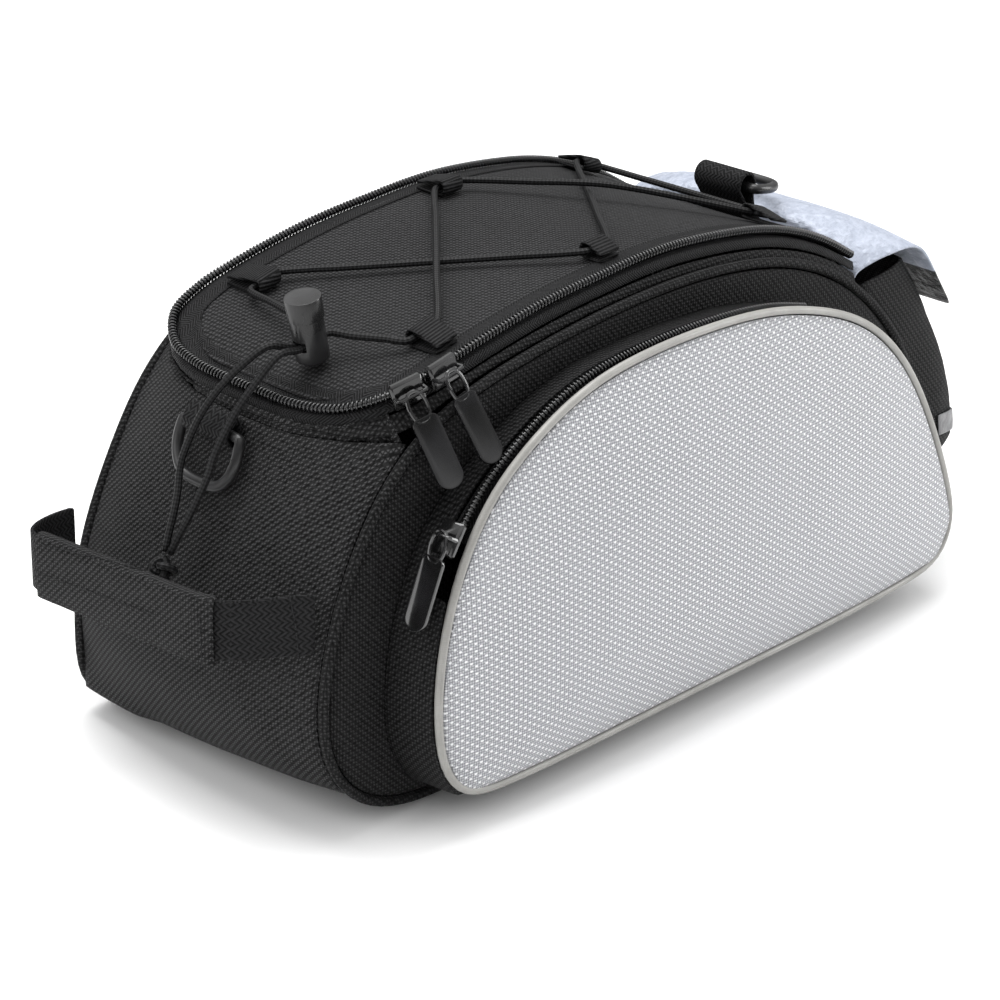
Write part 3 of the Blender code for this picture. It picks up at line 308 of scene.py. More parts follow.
def ribbed_web(name, pitch, band, dark=(0.001, 0.001, 0.001), light=(0.022, 0.022, 0.023), turn=0.0):
    """Woven tape or webbing with leaning ribs, or straight ones where the band is none."""
    material, tree, shader = new_material(name, 0.66, specular=0.10)
    mapped = add(tree, "ShaderNodeUVMap", uv_map="weave").outputs[0]
    place = add(tree, "ShaderNodeMapping", {"Vector": mapped, "Rotation": (0.0, 0.0, math.radians(turn))}).outputs[0]
    solid = add(tree, "ShaderNodeTexCoord").outputs["Object"]
    rib = use_group(tree, herringbone, Place=place, Pitch=pitch, Band=band)["Rib"]
    mottle = use_group(tree, uneven_dye, Place=solid, Grain=1400.0)
    # painted highlight and shade: the rib crowns are coloured lighter and the grooves between ribs darker, with mottle
    # added
    painted_light_and_mottle = sum_of(tree, (rib, 0.6), (mottle["Grains"], 0.3), (mottle["Clouds"], 0.1))
    tree.links.new(mixed(tree, painted_light_and_mottle, dark, light), shader.inputs["Base Color"])
    tree.links.new(ranged(tree, rib, 0.0, 1.0, 0.72, 0.52), shader.inputs["Roughness"])
    set_bump(tree, shader, sum_of(tree, (rib, 1.0), (mottle["Grains"], 0.3)), 0.8, 0.3 * MM)
    return material


def coated_cloth(name, dark, light, roughness, metallic, crinkle, strength):
    """A smooth coated face with fine crinkles; the colour is painted lighter on the crinkle crests as a highlight and
    darker in the hollows as shade.
    """
    material, tree, shader = new_material(name, roughness, metallic=metallic, specular=0.5)
    place = add(tree, "ShaderNodeUVMap", uv_map="weave").outputs[0]
    solid = add(tree, "ShaderNodeTexCoord").outputs["Object"]
    threads = use_group(tree, plain_weave, Place=place, Pitch=0.0007)
    mottle = use_group(tree, uneven_dye, Place=solid, Cloud=crinkle)
    # painted highlight and shade: colour follows the crinkle relief and the thread height, lighter where they stand
    # high
    painted_light_and_mottle = sum_of(tree, (mottle["Clouds"], 0.55), (threads["Height"], 0.25), (mottle["Grains"], 0.2))
    tree.links.new(mixed(tree, painted_light_and_mottle, dark, light), shader.inputs["Base Color"])
    tree.links.new(ranged(tree, mottle["Clouds"], 0.0, 1.0, roughness + 0.08, roughness - 0.06), shader.inputs["Roughness"])
    set_bump(tree, shader, sum_of(tree, (mottle["Clouds"], 1.0), (threads["Height"], 0.12)), strength, 1.2 * MM)
    return material


def silver_flap():
    """The silver face, and the black binding of the flap's lip."""
    material = coated_cloth("silver_cloth_look", (0.29, 0.32, 0.39), (0.45, 0.485, 0.57), 0.42, 0.1, 230.0, 0.6)
    tree = material.node_tree
    shader = tree.nodes["Principled BSDF"]
    face = shader.inputs["Base Color"].links[0].from_socket
    solid = add(tree, "ShaderNodeTexCoord").outputs["Object"]
    height = add(tree, "ShaderNodeSeparateXYZ", {0: solid}).outputs[2]
    lip = ranged(tree, height, 0.1172, 0.1178, 1.0, 0.0)
    tree.links.new(mixed(tree, lip, face, (0.006, 0.006, 0.006)), shader.inputs["Base Color"])
    return material


def hard_finish(name, dark, light, roughness, metallic, coat, grain):
    """Moulded plastic or plated metal: a fine grain and smudges in the gloss."""
    material, tree, shader = new_material(name, roughness, metallic=metallic, coat=coat, specular=0.35)
    solid = add(tree, "ShaderNodeTexCoord").outputs["Object"]
    mottle = use_group(tree, uneven_dye, Place=solid, Cloud=70.0, Grain=2200.0)
    tree.links.new(mixed(tree, mottle["Clouds"], dark, light), shader.inputs["Base Color"])
    tree.links.new(ranged(tree, mottle["Clouds"], 0.0, 1.0, roughness - 0.05, roughness + 0.07), shader.inputs["Roughness"])
    if grain:
        set_bump(tree, shader, mottle["Grains"], grain, 0.03 * MM)
    return material


def braided_cord():
    """A braided sleeve over elastic, in the cord's own length and girth."""
    material, tree, shader = new_material("elastic_cord_look", 0.5, specular=0.2)
    place = add(tree, "ShaderNodeUVMap", uv_map="weave").outputs[0]
    split = add(tree, "ShaderNodeSeparateXYZ", {0: place})
    turns = []
    for lean in (1.0, -1.0):
        along = maths(tree, "MULTIPLY", maths(tree, "DIVIDE", split.outputs[1], 0.0026), lean)
        phase = maths(tree, "ADD", maths(tree, "MULTIPLY", split.outputs[0], 4.0), along)
        turns.append(maths(tree, "SINE", maths(tree, "MULTIPLY", phase, 2 * math.pi)))
    braid = ranged(tree, maths(tree, "MULTIPLY", *turns), -0.8, 0.8)
    # painted highlight and shade: the braid's strands are coloured lighter on their crests and darker where they dip
    # under each other
    tree.links.new(mixed(tree, braid, (0.002, 0.002, 0.002), (0.016, 0.016, 0.017)), shader.inputs["Base Color"])
    tree.links.new(ranged(tree, braid, 0.0, 1.0, 0.6, 0.42), shader.inputs["Roughness"])
    set_bump(tree, shader, braid, 0.7, 0.2 * MM)
    return material


def floor_paper():
    material, tree, shader = new_material("studio_paper", 0.9, specular=0.1)
    solid = add(tree, "ShaderNodeTexCoord").outputs["Object"]
    mottle = use_group(tree, uneven_dye, Place=solid, Cloud=1.0, Grain=300.0)
    tree.links.new(mixed(tree, mottle["Clouds"], (0.93, 0.93, 0.93), (0.95, 0.95, 0.95)), shader.inputs["Base Color"])
    return material


def make_finishes():
    return {
        "black_cloth": woven_cloth("black_cloth_look", (0.001, 0.001, 0.001), (0.095, 0.095, 0.097), 0.00115, twill=0.85),
        "lid_cloth": woven_cloth("lid_cloth_look", (0.001, 0.001, 0.001), (0.072, 0.072, 0.074), 0.0014, twill=0.45),
        "side_cloth": woven_cloth("side_cloth_look", (0.0005, 0.0005, 0.0005), (0.058, 0.058, 0.059), 0.00125),
        "zip_tape": ribbed_web("zip_tape_look", 0.0011, 0.0030, (0.002, 0.002, 0.002), (0.026, 0.026, 0.027)),
        "zip_coil": hard_finish("zip_coil_look", (0.004, 0.004, 0.004), (0.010, 0.010, 0.011), 0.2, 0.0, 0.7, 0.2),
        "zip_metal": hard_finish("zip_metal_look", (0.006, 0.006, 0.006), (0.012, 0.012, 0.013), 0.12, 0.0, 0.9, 0.0),
        "grey_cloth": dobby_cloth(),
        "grey_piping": coated_cloth("grey_piping_look", (0.24, 0.235, 0.22), (0.32, 0.315, 0.30), 0.42, 0.05, 60.0, 0.15),
        "silver_cloth": silver_flap(),
        "reflective": coated_cloth("reflective_look", (0.10, 0.10, 0.105), (0.16, 0.16, 0.165), 0.4, 0.2, 200.0, 0.2),
        "black_plastic": hard_finish("black_plastic_look", (0.010, 0.010, 0.010), (0.024, 0.024, 0.025), 0.3, 0.0, 0.1, 0.3),
        "webbing": ribbed_web("webbing_look", 0.0016, 0.0016),
        "tab_web": ribbed_web("tab_web_look", 0.0012, 0.0, turn=90.0),
        "elastic_cord": braided_cord(),
        "thread": ribbed_web("thread_look", 0.0004, 0.0004, (0.008, 0.008, 0.008), (0.04, 0.04, 0.042)),
    }


# ---------------------------------------------------------------- piece helpers
def deselect():
    if bpy.context.object and bpy.context.object.mode != "OBJECT":
        bpy.ops.object.mode_set(mode="OBJECT")
    bpy.ops.object.select_all(action="DESELECT")


def take(obj):
    deselect()
    obj.select_set(True)
    bpy.context.view_layer.objects.active = obj


def cad_copy(node, name):
    """A merged copy of a CAD node's mesh, in quads where it can be."""
    source = frame["nodes"][node]
    piece = bpy.data.objects.new(name, source.data.copy())
    bpy.context.scene.collection.objects.link(piece)
    piece.data.materials.clear()
    take(piece)
    bpy.ops.object.mode_set(mode="EDIT")
    bpy.ops.mesh.select_all(action="SELECT")
    bpy.ops.mesh.remove_doubles(threshold=0.00001)
    bpy.ops.mesh.tris_convert_to_quads(face_threshold=math.radians(50), shape_threshold=math.radians(60))
    bpy.ops.object.mode_set(mode="OBJECT")
    return piece


def crease_rims(piece, angle):
    """Keeps the rims of a cloth wall crisp while the faces between are rounded."""
    build = bmesh.new()
    build.from_mesh(piece.data)
    layer = build.edges.layers.float.get("crease_edge") or build.edges.layers.float.new("crease_edge")
    for edge in build.edges:
        sharp = len(edge.link_faces) != 2 or edge.calc_face_angle(0.0) > angle
        edge[layer] = 0.9 if sharp else 0.0
    build.to_mesh(piece.data)
    build.free()


def apply_all(piece):
    take(piece)
    for modifier in list(piece.modifiers):
        bpy.ops.object.modifier_apply(modifier=modifier.name)


def subdivided(piece, levels):
    modifier = piece.modifiers.new("rounding", "SUBSURF")
    modifier.levels = modifier.render_levels = levels
    apply_all(piece)


def ripple(piece, height, length, seed):
    """Slow unevenness of a stuffed cloth wall; both of its faces move together."""
    mesh = piece.data
    offset = Vector((seed * 3.1, seed * 1.7, seed * 2.3))
    moves = []
    for vert in mesh.vertices:
        amount = noise.noise(vert.co / length + offset) + 0.4 * noise.noise(vert.co * 2.7 / length + offset)
        moves.append(amount * height)
    centre = sum((vert.co for vert in mesh.vertices), Vector()) / len(mesh.vertices)
    for vert, amount in zip(mesh.vertices, moves):
        outward = vert.co - centre
        outward = Vector((outward.x * 0.4, outward.y, outward.z)).normalized()
        vert.co += outward * amount


def crease_line(piece, start, end, depth, width):
    """A soft fold pressed or raised along a line, for all that lies near it."""
    run = end - start
    for vert in piece.data.vertices:
        share = min(max((vert.co - start).dot(run) / run.length_squared, 0.0), 1.0)
        gap = (vert.co - (start + run * share)).length
        fade = math.sin(math.pi * min(max(share, 0.08), 0.92))
        if gap < 3 * width:
            side = (CAMERA_PLACE - vert.co).normalized()
            vert.co += side * depth * fade * math.exp(-((gap / width) ** 2))


def flow_uv(piece):
    """A metric map from the nearest main direction of each face, for weaves."""
    mesh = piece.data
    layer = mesh.uv_layers.get("weave") or mesh.uv_layers.new(name="weave")
    layer.active = True
    for face in mesh.polygons:
        n = face.normal
        axis = max(range(3), key=lambda k: abs(n[k]) * (1.0, 1.05, 1.1)[k])
        u, v = ((1, 2), (0, 2), (0, 1))[axis]
        for loop in face.loop_indices:
            co = mesh.vertices[mesh.loops[loop].vertex_index].co
            layer.data[loop].uv = (co[u], co[v])
    for other in [layer for layer in mesh.uv_layers if layer.name != "weave"]:
        mesh.uv_layers.remove(other)


def finish_piece(piece, finish, body, replaced=(), smooth_angle=None):
    take(piece)
    if smooth_angle is None:
        bpy.ops.object.shade_smooth()
    else:
        bpy.ops.object.shade_smooth_by_angle(angle=smooth_angle)
    piece.data.materials.clear()
    piece.data.materials.append(finish)
    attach(piece, body)
    if replaced:
        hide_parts(*replaced)
    deselect()
    return piece


def tree_of(piece):
    build = bmesh.new()
    build.from_mesh(piece.data)
    found = BVHTree.FromBMesh(build)
    build.free()
    return found


def photo_hit(x, y, piece):
    """Where the sight line through a place of the photograph meets the piece."""
    return tree_of(piece).ray_cast(CAMERA_PLACE, photo_ray(x, y))[0]


# ---------------------------------------------------------------- cloth walls
SOFT_WALLS = [
    # node, finish, slot, levels, crease angle, ripple height, ripple length (mm)
    ("side_panel_near", "side_cloth", "black_cloth", 2, 40, 0.35, 45), ("side_panel_far", "side_cloth", "black_cloth", 2, 40, 0.35, 45),
    ("end_panel", "black_cloth", "black_cloth", 2, 40, 0.5, 40), ("base_panel", "black_cloth", "black_cloth", 1, 40, 0.0, 50),
    ("rear_panel", "black_cloth", "black_cloth", 2, 40, 0.5, 40), ("lid_panel", "lid_cloth", "black_cloth", 2, 40, 0.35, 38),
    ("lid_gusset", "side_cloth", "black_cloth", 2, 40, 0.25, 30), ("pocket_gusset_near", "side_cloth", "black_cloth", 2, 40, 0.3, 30),
    ("pocket_gusset_far", "side_cloth", "black_cloth", 2, 40, 0.3, 30), ("bottle_pocket", "side_cloth", "black_cloth", 2, 40, 0.6, 22),
    ("pocket_panel_near", "grey_cloth", "grey_cloth", 2, 40, 0.35, 55), ("pocket_panel_far", "grey_cloth", "grey_cloth", 2, 40, 0.35, 55),
    ("bottle_flap", "silver_cloth", "silver_cloth", 2, 40, 0.5, 18), ("reflective_stripe", "reflective", "reflective", 2, 40, 0.0, 20),
    ("lid_zip_tape", "zip_tape", "zip_tape", 1, 40, 0.0, 20), ("pocket_zip_tape_near", "zip_tape", "zip_tape", 1, 40, 0.0, 20),
    ("pocket_zip_tape_far", "zip_tape", "zip_tape", 1, 40, 0.0, 20), ("handle_webbing", "webbing", "webbing", 2, 40, 0.15, 15),
    ("handle_sleeve", "black_cloth", "webbing", 2, 40, 0.3, 14), ("ring_tab_front", "webbing", "webbing", 2, 40, 0.0, 10),
    ("ring_tab_rear", "webbing", "webbing", 2, 40, 0.0, 10), ("lace_tab_near_1", "tab_web", "webbing", 2, 40, 0.0, 10),
    ("lace_tab_near_2", "tab_web", "webbing", 2, 40, 0.0, 10), ("lace_tab_near_3", "tab_web", "webbing", 2, 40, 0.0, 10),
    ("lace_tab_far_1", "tab_web", "webbing", 2, 40, 0.0, 10), ("lace_tab_far_2", "tab_web", "webbing", 2, 40, 0.0, 10),
    ("lace_tab_far_3", "tab_web", "webbing", 2, 40, 0.0, 10),
]
# Folds of the handle end and the dimple of the lid, by their places in the photograph
FOLDS = [
    # node, start x, y, end x, y, depth, width (mm, raised when positive)
    ("end_panel", 224, 675, 293, 770, 1.8, 5.5), ("end_panel", 196, 690, 262, 775, -1.6, 6.0), ("end_panel", 128, 668, 145, 726, -2.2, 5.0),
    ("end_panel", 300, 480, 285, 600, 1.0, 7.0), ("end_panel", 120, 470, 200, 520, -1.2, 9.0), ("end_panel", 100, 640, 215, 700, 1.0, 7.0),
    ("lid_panel", 372, 372, 388, 384, -1.6, 5.0), ("lid_panel", 310, 382, 350, 392, 0.5, 5.0),
]


def cloth_walls(finishes):
    made = {}
    for seed, (node, finish, slot, levels, angle, height, length) in enumerate(SOFT_WALLS):
        piece = cad_copy(node, node + "_cloth")
        crease_rims(piece, math.radians(angle))
        subdivided(piece, levels)
        if height:
            ripple(piece, height * MM, length * MM, seed + 1)
        made[node] = piece
    for node, x0, y0, x1, y1, depth, width in FOLDS:
        start, end = photo_hit(x0, y0, made[node]), photo_hit(x1, y1, made[node])
        if start and end:
            crease_line(made[node], start, end, depth * MM, width * MM)
    for node, finish, slot, *rest in SOFT_WALLS:
        flow_uv(made[node])
        finish_piece(made[node], finishes[finish], BODY_OF[node], [node], math.radians(50))
    return made


# ---------------------------------------------------------------- round pieces
ROUND_PIECES = [
    # node, finish, slot, levels, swell (mm)
    ("seam_piping_near", "side_cloth", "black_cloth", 2, 0.10), ("seam_piping_far", "side_cloth", "black_cloth", 2, 0.10),
    ("pocket_piping_near", "grey_piping", "grey_piping", 2, 0.10), ("pocket_piping_far", "grey_piping", "grey_piping", 2, 0.10),
    ("d_ring_front", "black_plastic", "black_plastic", 2, 0.22), ("d_ring_rear", "black_plastic", "black_plastic", 2, 0.22),
]


def round_pieces(finishes):
    for node, finish, slot, levels, swell in ROUND_PIECES:
        piece = cad_copy(node, node + "_round")
        subdivided(piece, levels)
        take(piece)
        bpy.ops.object.mode_set(mode="EDIT")
        bpy.ops.mesh.select_all(action="SELECT")
        bpy.ops.transform.shrink_fatten(value=swell * MM)
        bpy.ops.object.mode_set(mode="OBJECT")
        flow_uv(piece)
        finish_piece(piece, finishes[finish], BODY_OF[node], [node])


# ---------------------------------------------------------------- zips
def line_through(node, end_hint, radius):
    """The middle line of a tube node, ring by ring from the end nearest the hint."""
    build = bmesh.new()
    build.from_mesh(frame["nodes"][node].data)
    bmesh.ops.remove_doubles(build, verts=build.verts, dist=0.00001)
    build.verts.ensure_lookup_table()
    first = min(build.verts, key=lambda vert: (vert.co - end_hint).length)
    cap = [face for face in first.link_faces]
    plane = max(cap, key=lambda face: sum(1 for vert in face.verts if (vert.co - first.co).length < 2.3 * radius))
    ring = {vert for vert in build.verts if (vert.co - first.co).length < 2.3 * radius and abs((vert.co - first.co).dot(plane.normal)) < 0.15 * radius}
    seen, line = set(ring), []
    while ring:
        line.append(sum((vert.co for vert in ring), Vector()) / len(ring))
        after = {edge.other_vert(vert) for vert in ring for edge in vert.link_edges} - seen
        seen |= after
        ring = after
    build.free()
    return line


def curve_point(p0, p1, p2, p3, t):
    return 0.5 * (2 * p1 + (p2 - p0) * t + (2 * p0 - 5 * p1 + 4 * p2 - p3) * t * t + (3 * p1 - p0 - 3 * p2 + p3) * t ** 3)


def even_line(points, step):
    """Evenly spaced points on the smooth curve through the given ones."""
    fine = []
    last = len(points) - 1
    for i in range(last):
        four = [points[min(max(i + k, 0), last)] for k in (-1, 0, 1, 2)]
        fine.extend(curve_point(*four, k / 16) for k in range(16))
    fine.append(points[-1])
    run = [0.0]
    for a, b in zip(fine[:-1], fine[1:]):
        run.append(run[-1] + (b - a).length)
    count = max(int(run[-1] / step), 2)
    made, k = [], 0
    for i in range(count + 1):
        goal = run[-1] * i / count
        while k < len(fine) - 2 and run[k + 1] < goal:
            k += 1
        made.append(fine[k].lerp(fine[k + 1], (goal - run[k]) / max(run[k + 1] - run[k], 1e-9)))
    return made


def directions(line):
    return [(line[min(i + 1, len(line) - 1)] - line[max(i - 1, 0)]).normalized() for i in range(len(line))]


def ring_frames(line):
    """Frames that follow the line without twisting."""
    frames, side = [], None
    for point, along in zip(line, directions(line)):
        if side is None:
            side = along.orthogonal().normalized()
        side = (side - along * side.dot(along)).normalized()
        frames.append((point, side, along.cross(side), along))
    return frames


def tube(name, line, radius, sides=12, taper_ends=False):
    """A closed round tube along the line, with its girth and length as its map."""
    mesh = bpy.data.meshes.new(name)
    build = bmesh.new()
    layer = build.loops.layers.uv.new("weave")
    rings, run, total = [], [], 0.0
    for i, (point, a, b, along) in enumerate(ring_frames(line)):
        total += (point - line[i - 1]).length if i else 0.0
        run.append(total)
        turn = [2 * math.pi * k / sides for k in range(sides)]
        rings.append([build.verts.new(point + (a * math.cos(t) + b * math.sin(t)) * radius) for t in turn])
    for i in range(len(rings) - 1):
        for k in range(sides):
            low, high = rings[i], rings[i + 1]
            face = build.faces.new((low[k], low[(k + 1) % sides], high[(k + 1) % sides], high[k]))
            for loop, (u, v) in zip(face.loops, ((k, i), (k + 1, i), (k + 1, i + 1), (k, i + 1))):
                loop[layer].uv = (u / sides, run[v])
    build.faces.new(rings[0][::-1])
    build.faces.new(rings[-1])
    bmesh.ops.recalc_face_normals(build, faces=build.faces)
    build.to_mesh(mesh)
    build.free()
    piece = bpy.data.objects.new(name, mesh)
    bpy.context.scene.collection.objects.link(piece)
    return piece


def tooth_mesh(half_width, thread):
    """One turn of a zip coil: a flattened ring, leaning a little along the tape."""
    bpy.ops.mesh.primitive_torus_add(major_segments=10, minor_segments=5, major_radius=half_width, minor_radius=thread)
    tooth = bpy.context.object
    bpy.ops.object.mode_set(mode="EDIT")
    bpy.ops.mesh.select_all(action="SELECT")
    bpy.ops.transform.rotate(value=math.radians(14), orient_axis="Y", center_override=(0, 0, 0))
    bpy.ops.object.mode_set(mode="OBJECT")
    mesh = tooth.data
    bpy.data.objects.remove(tooth)
    return mesh


COILS = [
    # node, hint of one end (the rear or the low end), radius
    ("lid_zip_coil", (0.096, -0.053, 0.132), 1.7), ("pocket_zip_coil_near", (-0.134, -0.08, 0.078), 1.7), ("pocket_zip_coil_far", (-0.134, 0.08, 0.078), 1.7),
]
TOOTH_PITCH = 1.45 * MM


def zip_coils(finishes):
    tooth = tooth_mesh(1.28 * MM, 0.40 * MM)
    for node, hint, radius in COILS:
        line = even_line(line_through(node, Vector(hint), radius * MM), TOOTH_PITCH)
        build = bmesh.new()
        for point, a, b, along in ring_frames(line):
            turn = Matrix((a, b, along)).transposed().to_4x4()
            copy = bmesh.new()
            copy.from_mesh(tooth)
            copy.transform(Matrix.Translation(point) @ turn)
            part = bpy.data.meshes.new("turn")
            copy.to_mesh(part)
            copy.free()
            build.from_mesh(part)
            bpy.data.meshes.remove(part)
        core = tube("core", line, 1.0 * MM, 8)
        build.from_mesh(core.data)
        bpy.data.objects.remove(core)
        mesh = bpy.data.meshes.new(node + "_turns")
        build.to_mesh(mesh)
        build.free()
        piece = bpy.data.objects.new(node + "_turns", mesh)
        bpy.context.scene.collection.objects.link(piece)
        finish_piece(piece, finishes["zip_coil"], BAG, [node])


HARD_PIECES = [
    # node, finish, slot, edge rounding (mm)
    ("lid_slider_a", "zip_metal", "zip_metal", 0.35), ("lid_slider_b", "zip_metal", "zip_metal", 0.35),
    ("pocket_slider_near", "zip_metal", "zip_metal", 0.35), ("pocket_slider_far", "zip_metal", "zip_metal", 0.35),
    ("cord_lock_body", "black_plastic", "black_plastic", 0.35),
]


def hard_pieces(finishes):
    for node, finish, slot, width in HARD_PIECES:
        piece = cad_copy(node, node + "_hard")
        edge = piece.modifiers.new("edge", "BEVEL")
        edge.width = width * MM
        edge.segments = 3
        edge.limit_method = "ANGLE"
        edge.angle_limit = math.radians(38)
        apply_all(piece)
        flow_uv(piece)
        finish_piece(piece, finishes[finish], BODY_OF[node], [node], math.radians(35))


PULLS = {
    # node: its joint
    "lid_pull_a": "lid_pull_front_hinge", "lid_pull_b": "lid_pull_back_hinge",
    "pocket_pull_near": "near_pocket_pull_hinge", "pocket_pull_far": "far_pocket_pull_hinge",
}
PLATE_TOP = 6.8 * MM
PLATE_WIDTH = 8.6 * MM
PLATE_THICK = 1.5 * MM
LOOP_WIRE = 0.62 * MM
LOOP_HALF = 2.9 * MM


def pull_plate(name, length):
    """A rounded plate with a raised rim, hanging down from the origin, its face along Y."""
    bpy.ops.mesh.primitive_cube_add(size=1.0)
    plate = bpy.context.object
    plate.name = name
    bpy.ops.object.mode_set(mode="EDIT")
    bpy.ops.mesh.select_all(action="SELECT")
    bpy.ops.transform.resize(value=(PLATE_WIDTH, PLATE_THICK, length - PLATE_TOP))
    bpy.ops.transform.translate(value=(0, 0, -(length + PLATE_TOP) / 2))
    bpy.ops.object.mode_set(mode="OBJECT")
    for low, share, radius in ((True, 0.0, 4.1 * MM), (False, 1.0, 2.0 * MM)):
        build = bmesh.new()
        build.from_mesh(plate.data)
        goal = -length if low else -PLATE_TOP
        edges = [e for e in build.edges if all(abs(v.co.z - goal) < 1e-6 for v in e.verts) and abs(e.verts[0].co.x - e.verts[1].co.x) < 1e-6]
        bmesh.ops.bevel(build, geom=edges, offset=radius, segments=10, profile=0.5, affect="EDGES")
        build.to_mesh(plate.data)
        build.free()
    build = bmesh.new()
    build.from_mesh(plate.data)
    faces = sorted(build.faces, key=lambda face: -face.calc_area())[:2]
    for face in faces:
        bmesh.ops.inset_region(build, faces=[face], thickness=0.75 * MM, depth=0.0)
        for vert in face.verts:
            vert.co.y *= 0.72
    build.to_mesh(plate.data)
    build.free()
    edge = plate.modifiers.new("edge", "BEVEL")
    edge.width = 0.22 * MM
    edge.segments = 2
    edge.limit_method = "ANGLE"
    edge.angle_limit = math.radians(30)
    apply_all(plate)
    return plate


def zip_pulls(finishes):
    joints = {joint["name"]: joint for joint in frame["joints"]}
    for node, joint_name in PULLS.items():
        joint = joints[joint_name]
        body = BODY_OF[node]
        pivot = Vector(joint["pos_m"])
        axis = Vector(joint["axis"]).normalized()
        points = [vert.co for vert in frame["nodes"][node].data.vertices]
        far = max(points, key=lambda point: (point - pivot).length)
        low = sum((p for p in points if (p - far).length < 6 * MM), Vector()) / sum(1 for p in points if (p - far).length < 6 * MM)
        down = low - pivot
        down = (down - axis * down.dot(axis)).normalized()
        length = max((point - pivot).dot(down) for point in points)
        plate = pull_plate(node + "_plate", length)
        line = []
        for k in range(28):
            turn = 2 * math.pi * k / 28
            across = LOOP_HALF * math.copysign(abs(math.cos(turn)) ** 0.7, math.cos(turn))
            drop = (math.sin(turn) - 0.75) * 4.9 * MM
            line.append(Vector((across, 0.0, drop)))
        loop = tube("loop", line + line[:1], LOOP_WIRE, 8)
        build = bmesh.new()
        build.from_mesh(plate.data)
        build.from_mesh(loop.data)
        build.to_mesh(plate.data)
        build.free()
        bpy.data.objects.remove(loop)
        turn = Matrix((axis, down.cross(axis), -down)).transposed().to_4x4()
        if turn.determinant() < 0:
            turn = Matrix((-axis, down.cross(axis), -down)).transposed().to_4x4()
        plate.data.transform(Matrix.Translation(pivot) @ turn)
        flow_uv(plate)
        finish_piece(plate, finishes["zip_metal"], body, [node], math.radians(35))


def lock_skirt(finishes):
    """The button's own sleeve, which slides down over the barrel."""
    bpy.ops.mesh.primitive_cylinder_add(vertices=40, radius=5.75 * MM, depth=7.1 * MM)
    skirt = bpy.context.object
    skirt.name = "lock_button_sleeve"
    build = bmesh.new()
    build.from_mesh(skirt.data)
    floor_face = min(build.faces, key=lambda face: face.calc_center_median().z)
    bmesh.ops.inset_region(build, faces=[floor_face], thickness=0.38 * MM)
    for vert in floor_face.verts:
        vert.co.z += 2.9 * MM
    top_face = max(build.faces, key=lambda face: face.calc_center_median().z)
    bmesh.ops.inset_region(build, faces=[top_face], thickness=0.9 * MM)
    for vert in top_face.verts:
        vert.co.z -= 0.15 * MM
    build.to_mesh(skirt.data)
    build.free()
    edge = skirt.modifiers.new("edge", "BEVEL")
    edge.width = 0.25 * MM
    edge.segments = 2
    edge.limit_method = "ANGLE"
    edge.angle_limit = math.radians(30)
    apply_all(skirt)
    lean = Matrix.Translation(LOCK_FOOT) @ Matrix.Rotation(-LOCK_LEAN, 4, "Y")
    skirt.data.transform(lean @ Matrix.Translation((0, 0, 18.0 * MM)))
    flow_uv(skirt)
    finish_piece(skirt, finishes["black_plastic"], BODY_OF["cord_lock_button"], ["cord_lock_button"], math.radians(35))


def strip(name, rows):
    """A cloth strip from rows of points, given its thickness."""
    build = bmesh.new()
    verts = [[build.verts.new(point) for point in row] for row in rows]
    for low, high in zip(verts[:-1], verts[1:]):
        for k in range(len(low) - 1):
            build.faces.new((low[k], low[k + 1], high[k + 1], high[k]))
    bmesh.ops.recalc_face_normals(build, faces=build.faces)
    if sum(face.normal.z for face in build.faces) < 0:
        bmesh.ops.reverse_faces(build, faces=build.faces)
    mesh = bpy.data.meshes.new(name)
    build.to_mesh(mesh)
    build.free()
    piece = bpy.data.objects.new(name, mesh)
    bpy.context.scene.collection.objects.link(piece)
    thick = piece.modifiers.new("thickness", "SOLIDIFY")
    thick.thickness = 0.5 * MM
    thick.offset = -1.0
    apply_all(piece)
    return piece


def lid_edge_tape(finishes, cloth):
    """The zip's inner tape, sewn flat on the lid's edge."""
    line = even_line(line_through("lid_zip_coil", Vector((0.096, -0.053, 0.132)), 1.7 * MM), 3.0 * MM)
    lid = tree_of(cloth["lid_panel"])
    rows = []
    for point, along in zip(line, directions(line)):
        inward = Vector((0, 0, 1)).cross(along).normalized()
        if inward.dot(Vector((-0.02, 0, 0.14)) - point) < 0:
            inward = -inward
        row = []
        for reach in (1.3, 3.0, 5.0, 7.5, 9.0):
            place = point + inward * reach * MM
            hit = lid.ray_cast(place + Vector((0, 0, 0.03)), Vector((0, 0, -1)))[0]
            height = point.z - 0.9 * MM
            if hit and hit.z > place.z - 0.012:
                share = min(reach / 6.0, 1.0)
                height = height + (hit.z + 0.45 * MM - height) * share
            row.append(Vector((place.x, place.y, height)))
        rows.append(row)
    piece = strip("lid_edge_tape", rows)
    flow_uv(piece)
    finish_piece(piece, finishes["zip_tape"], BAG)


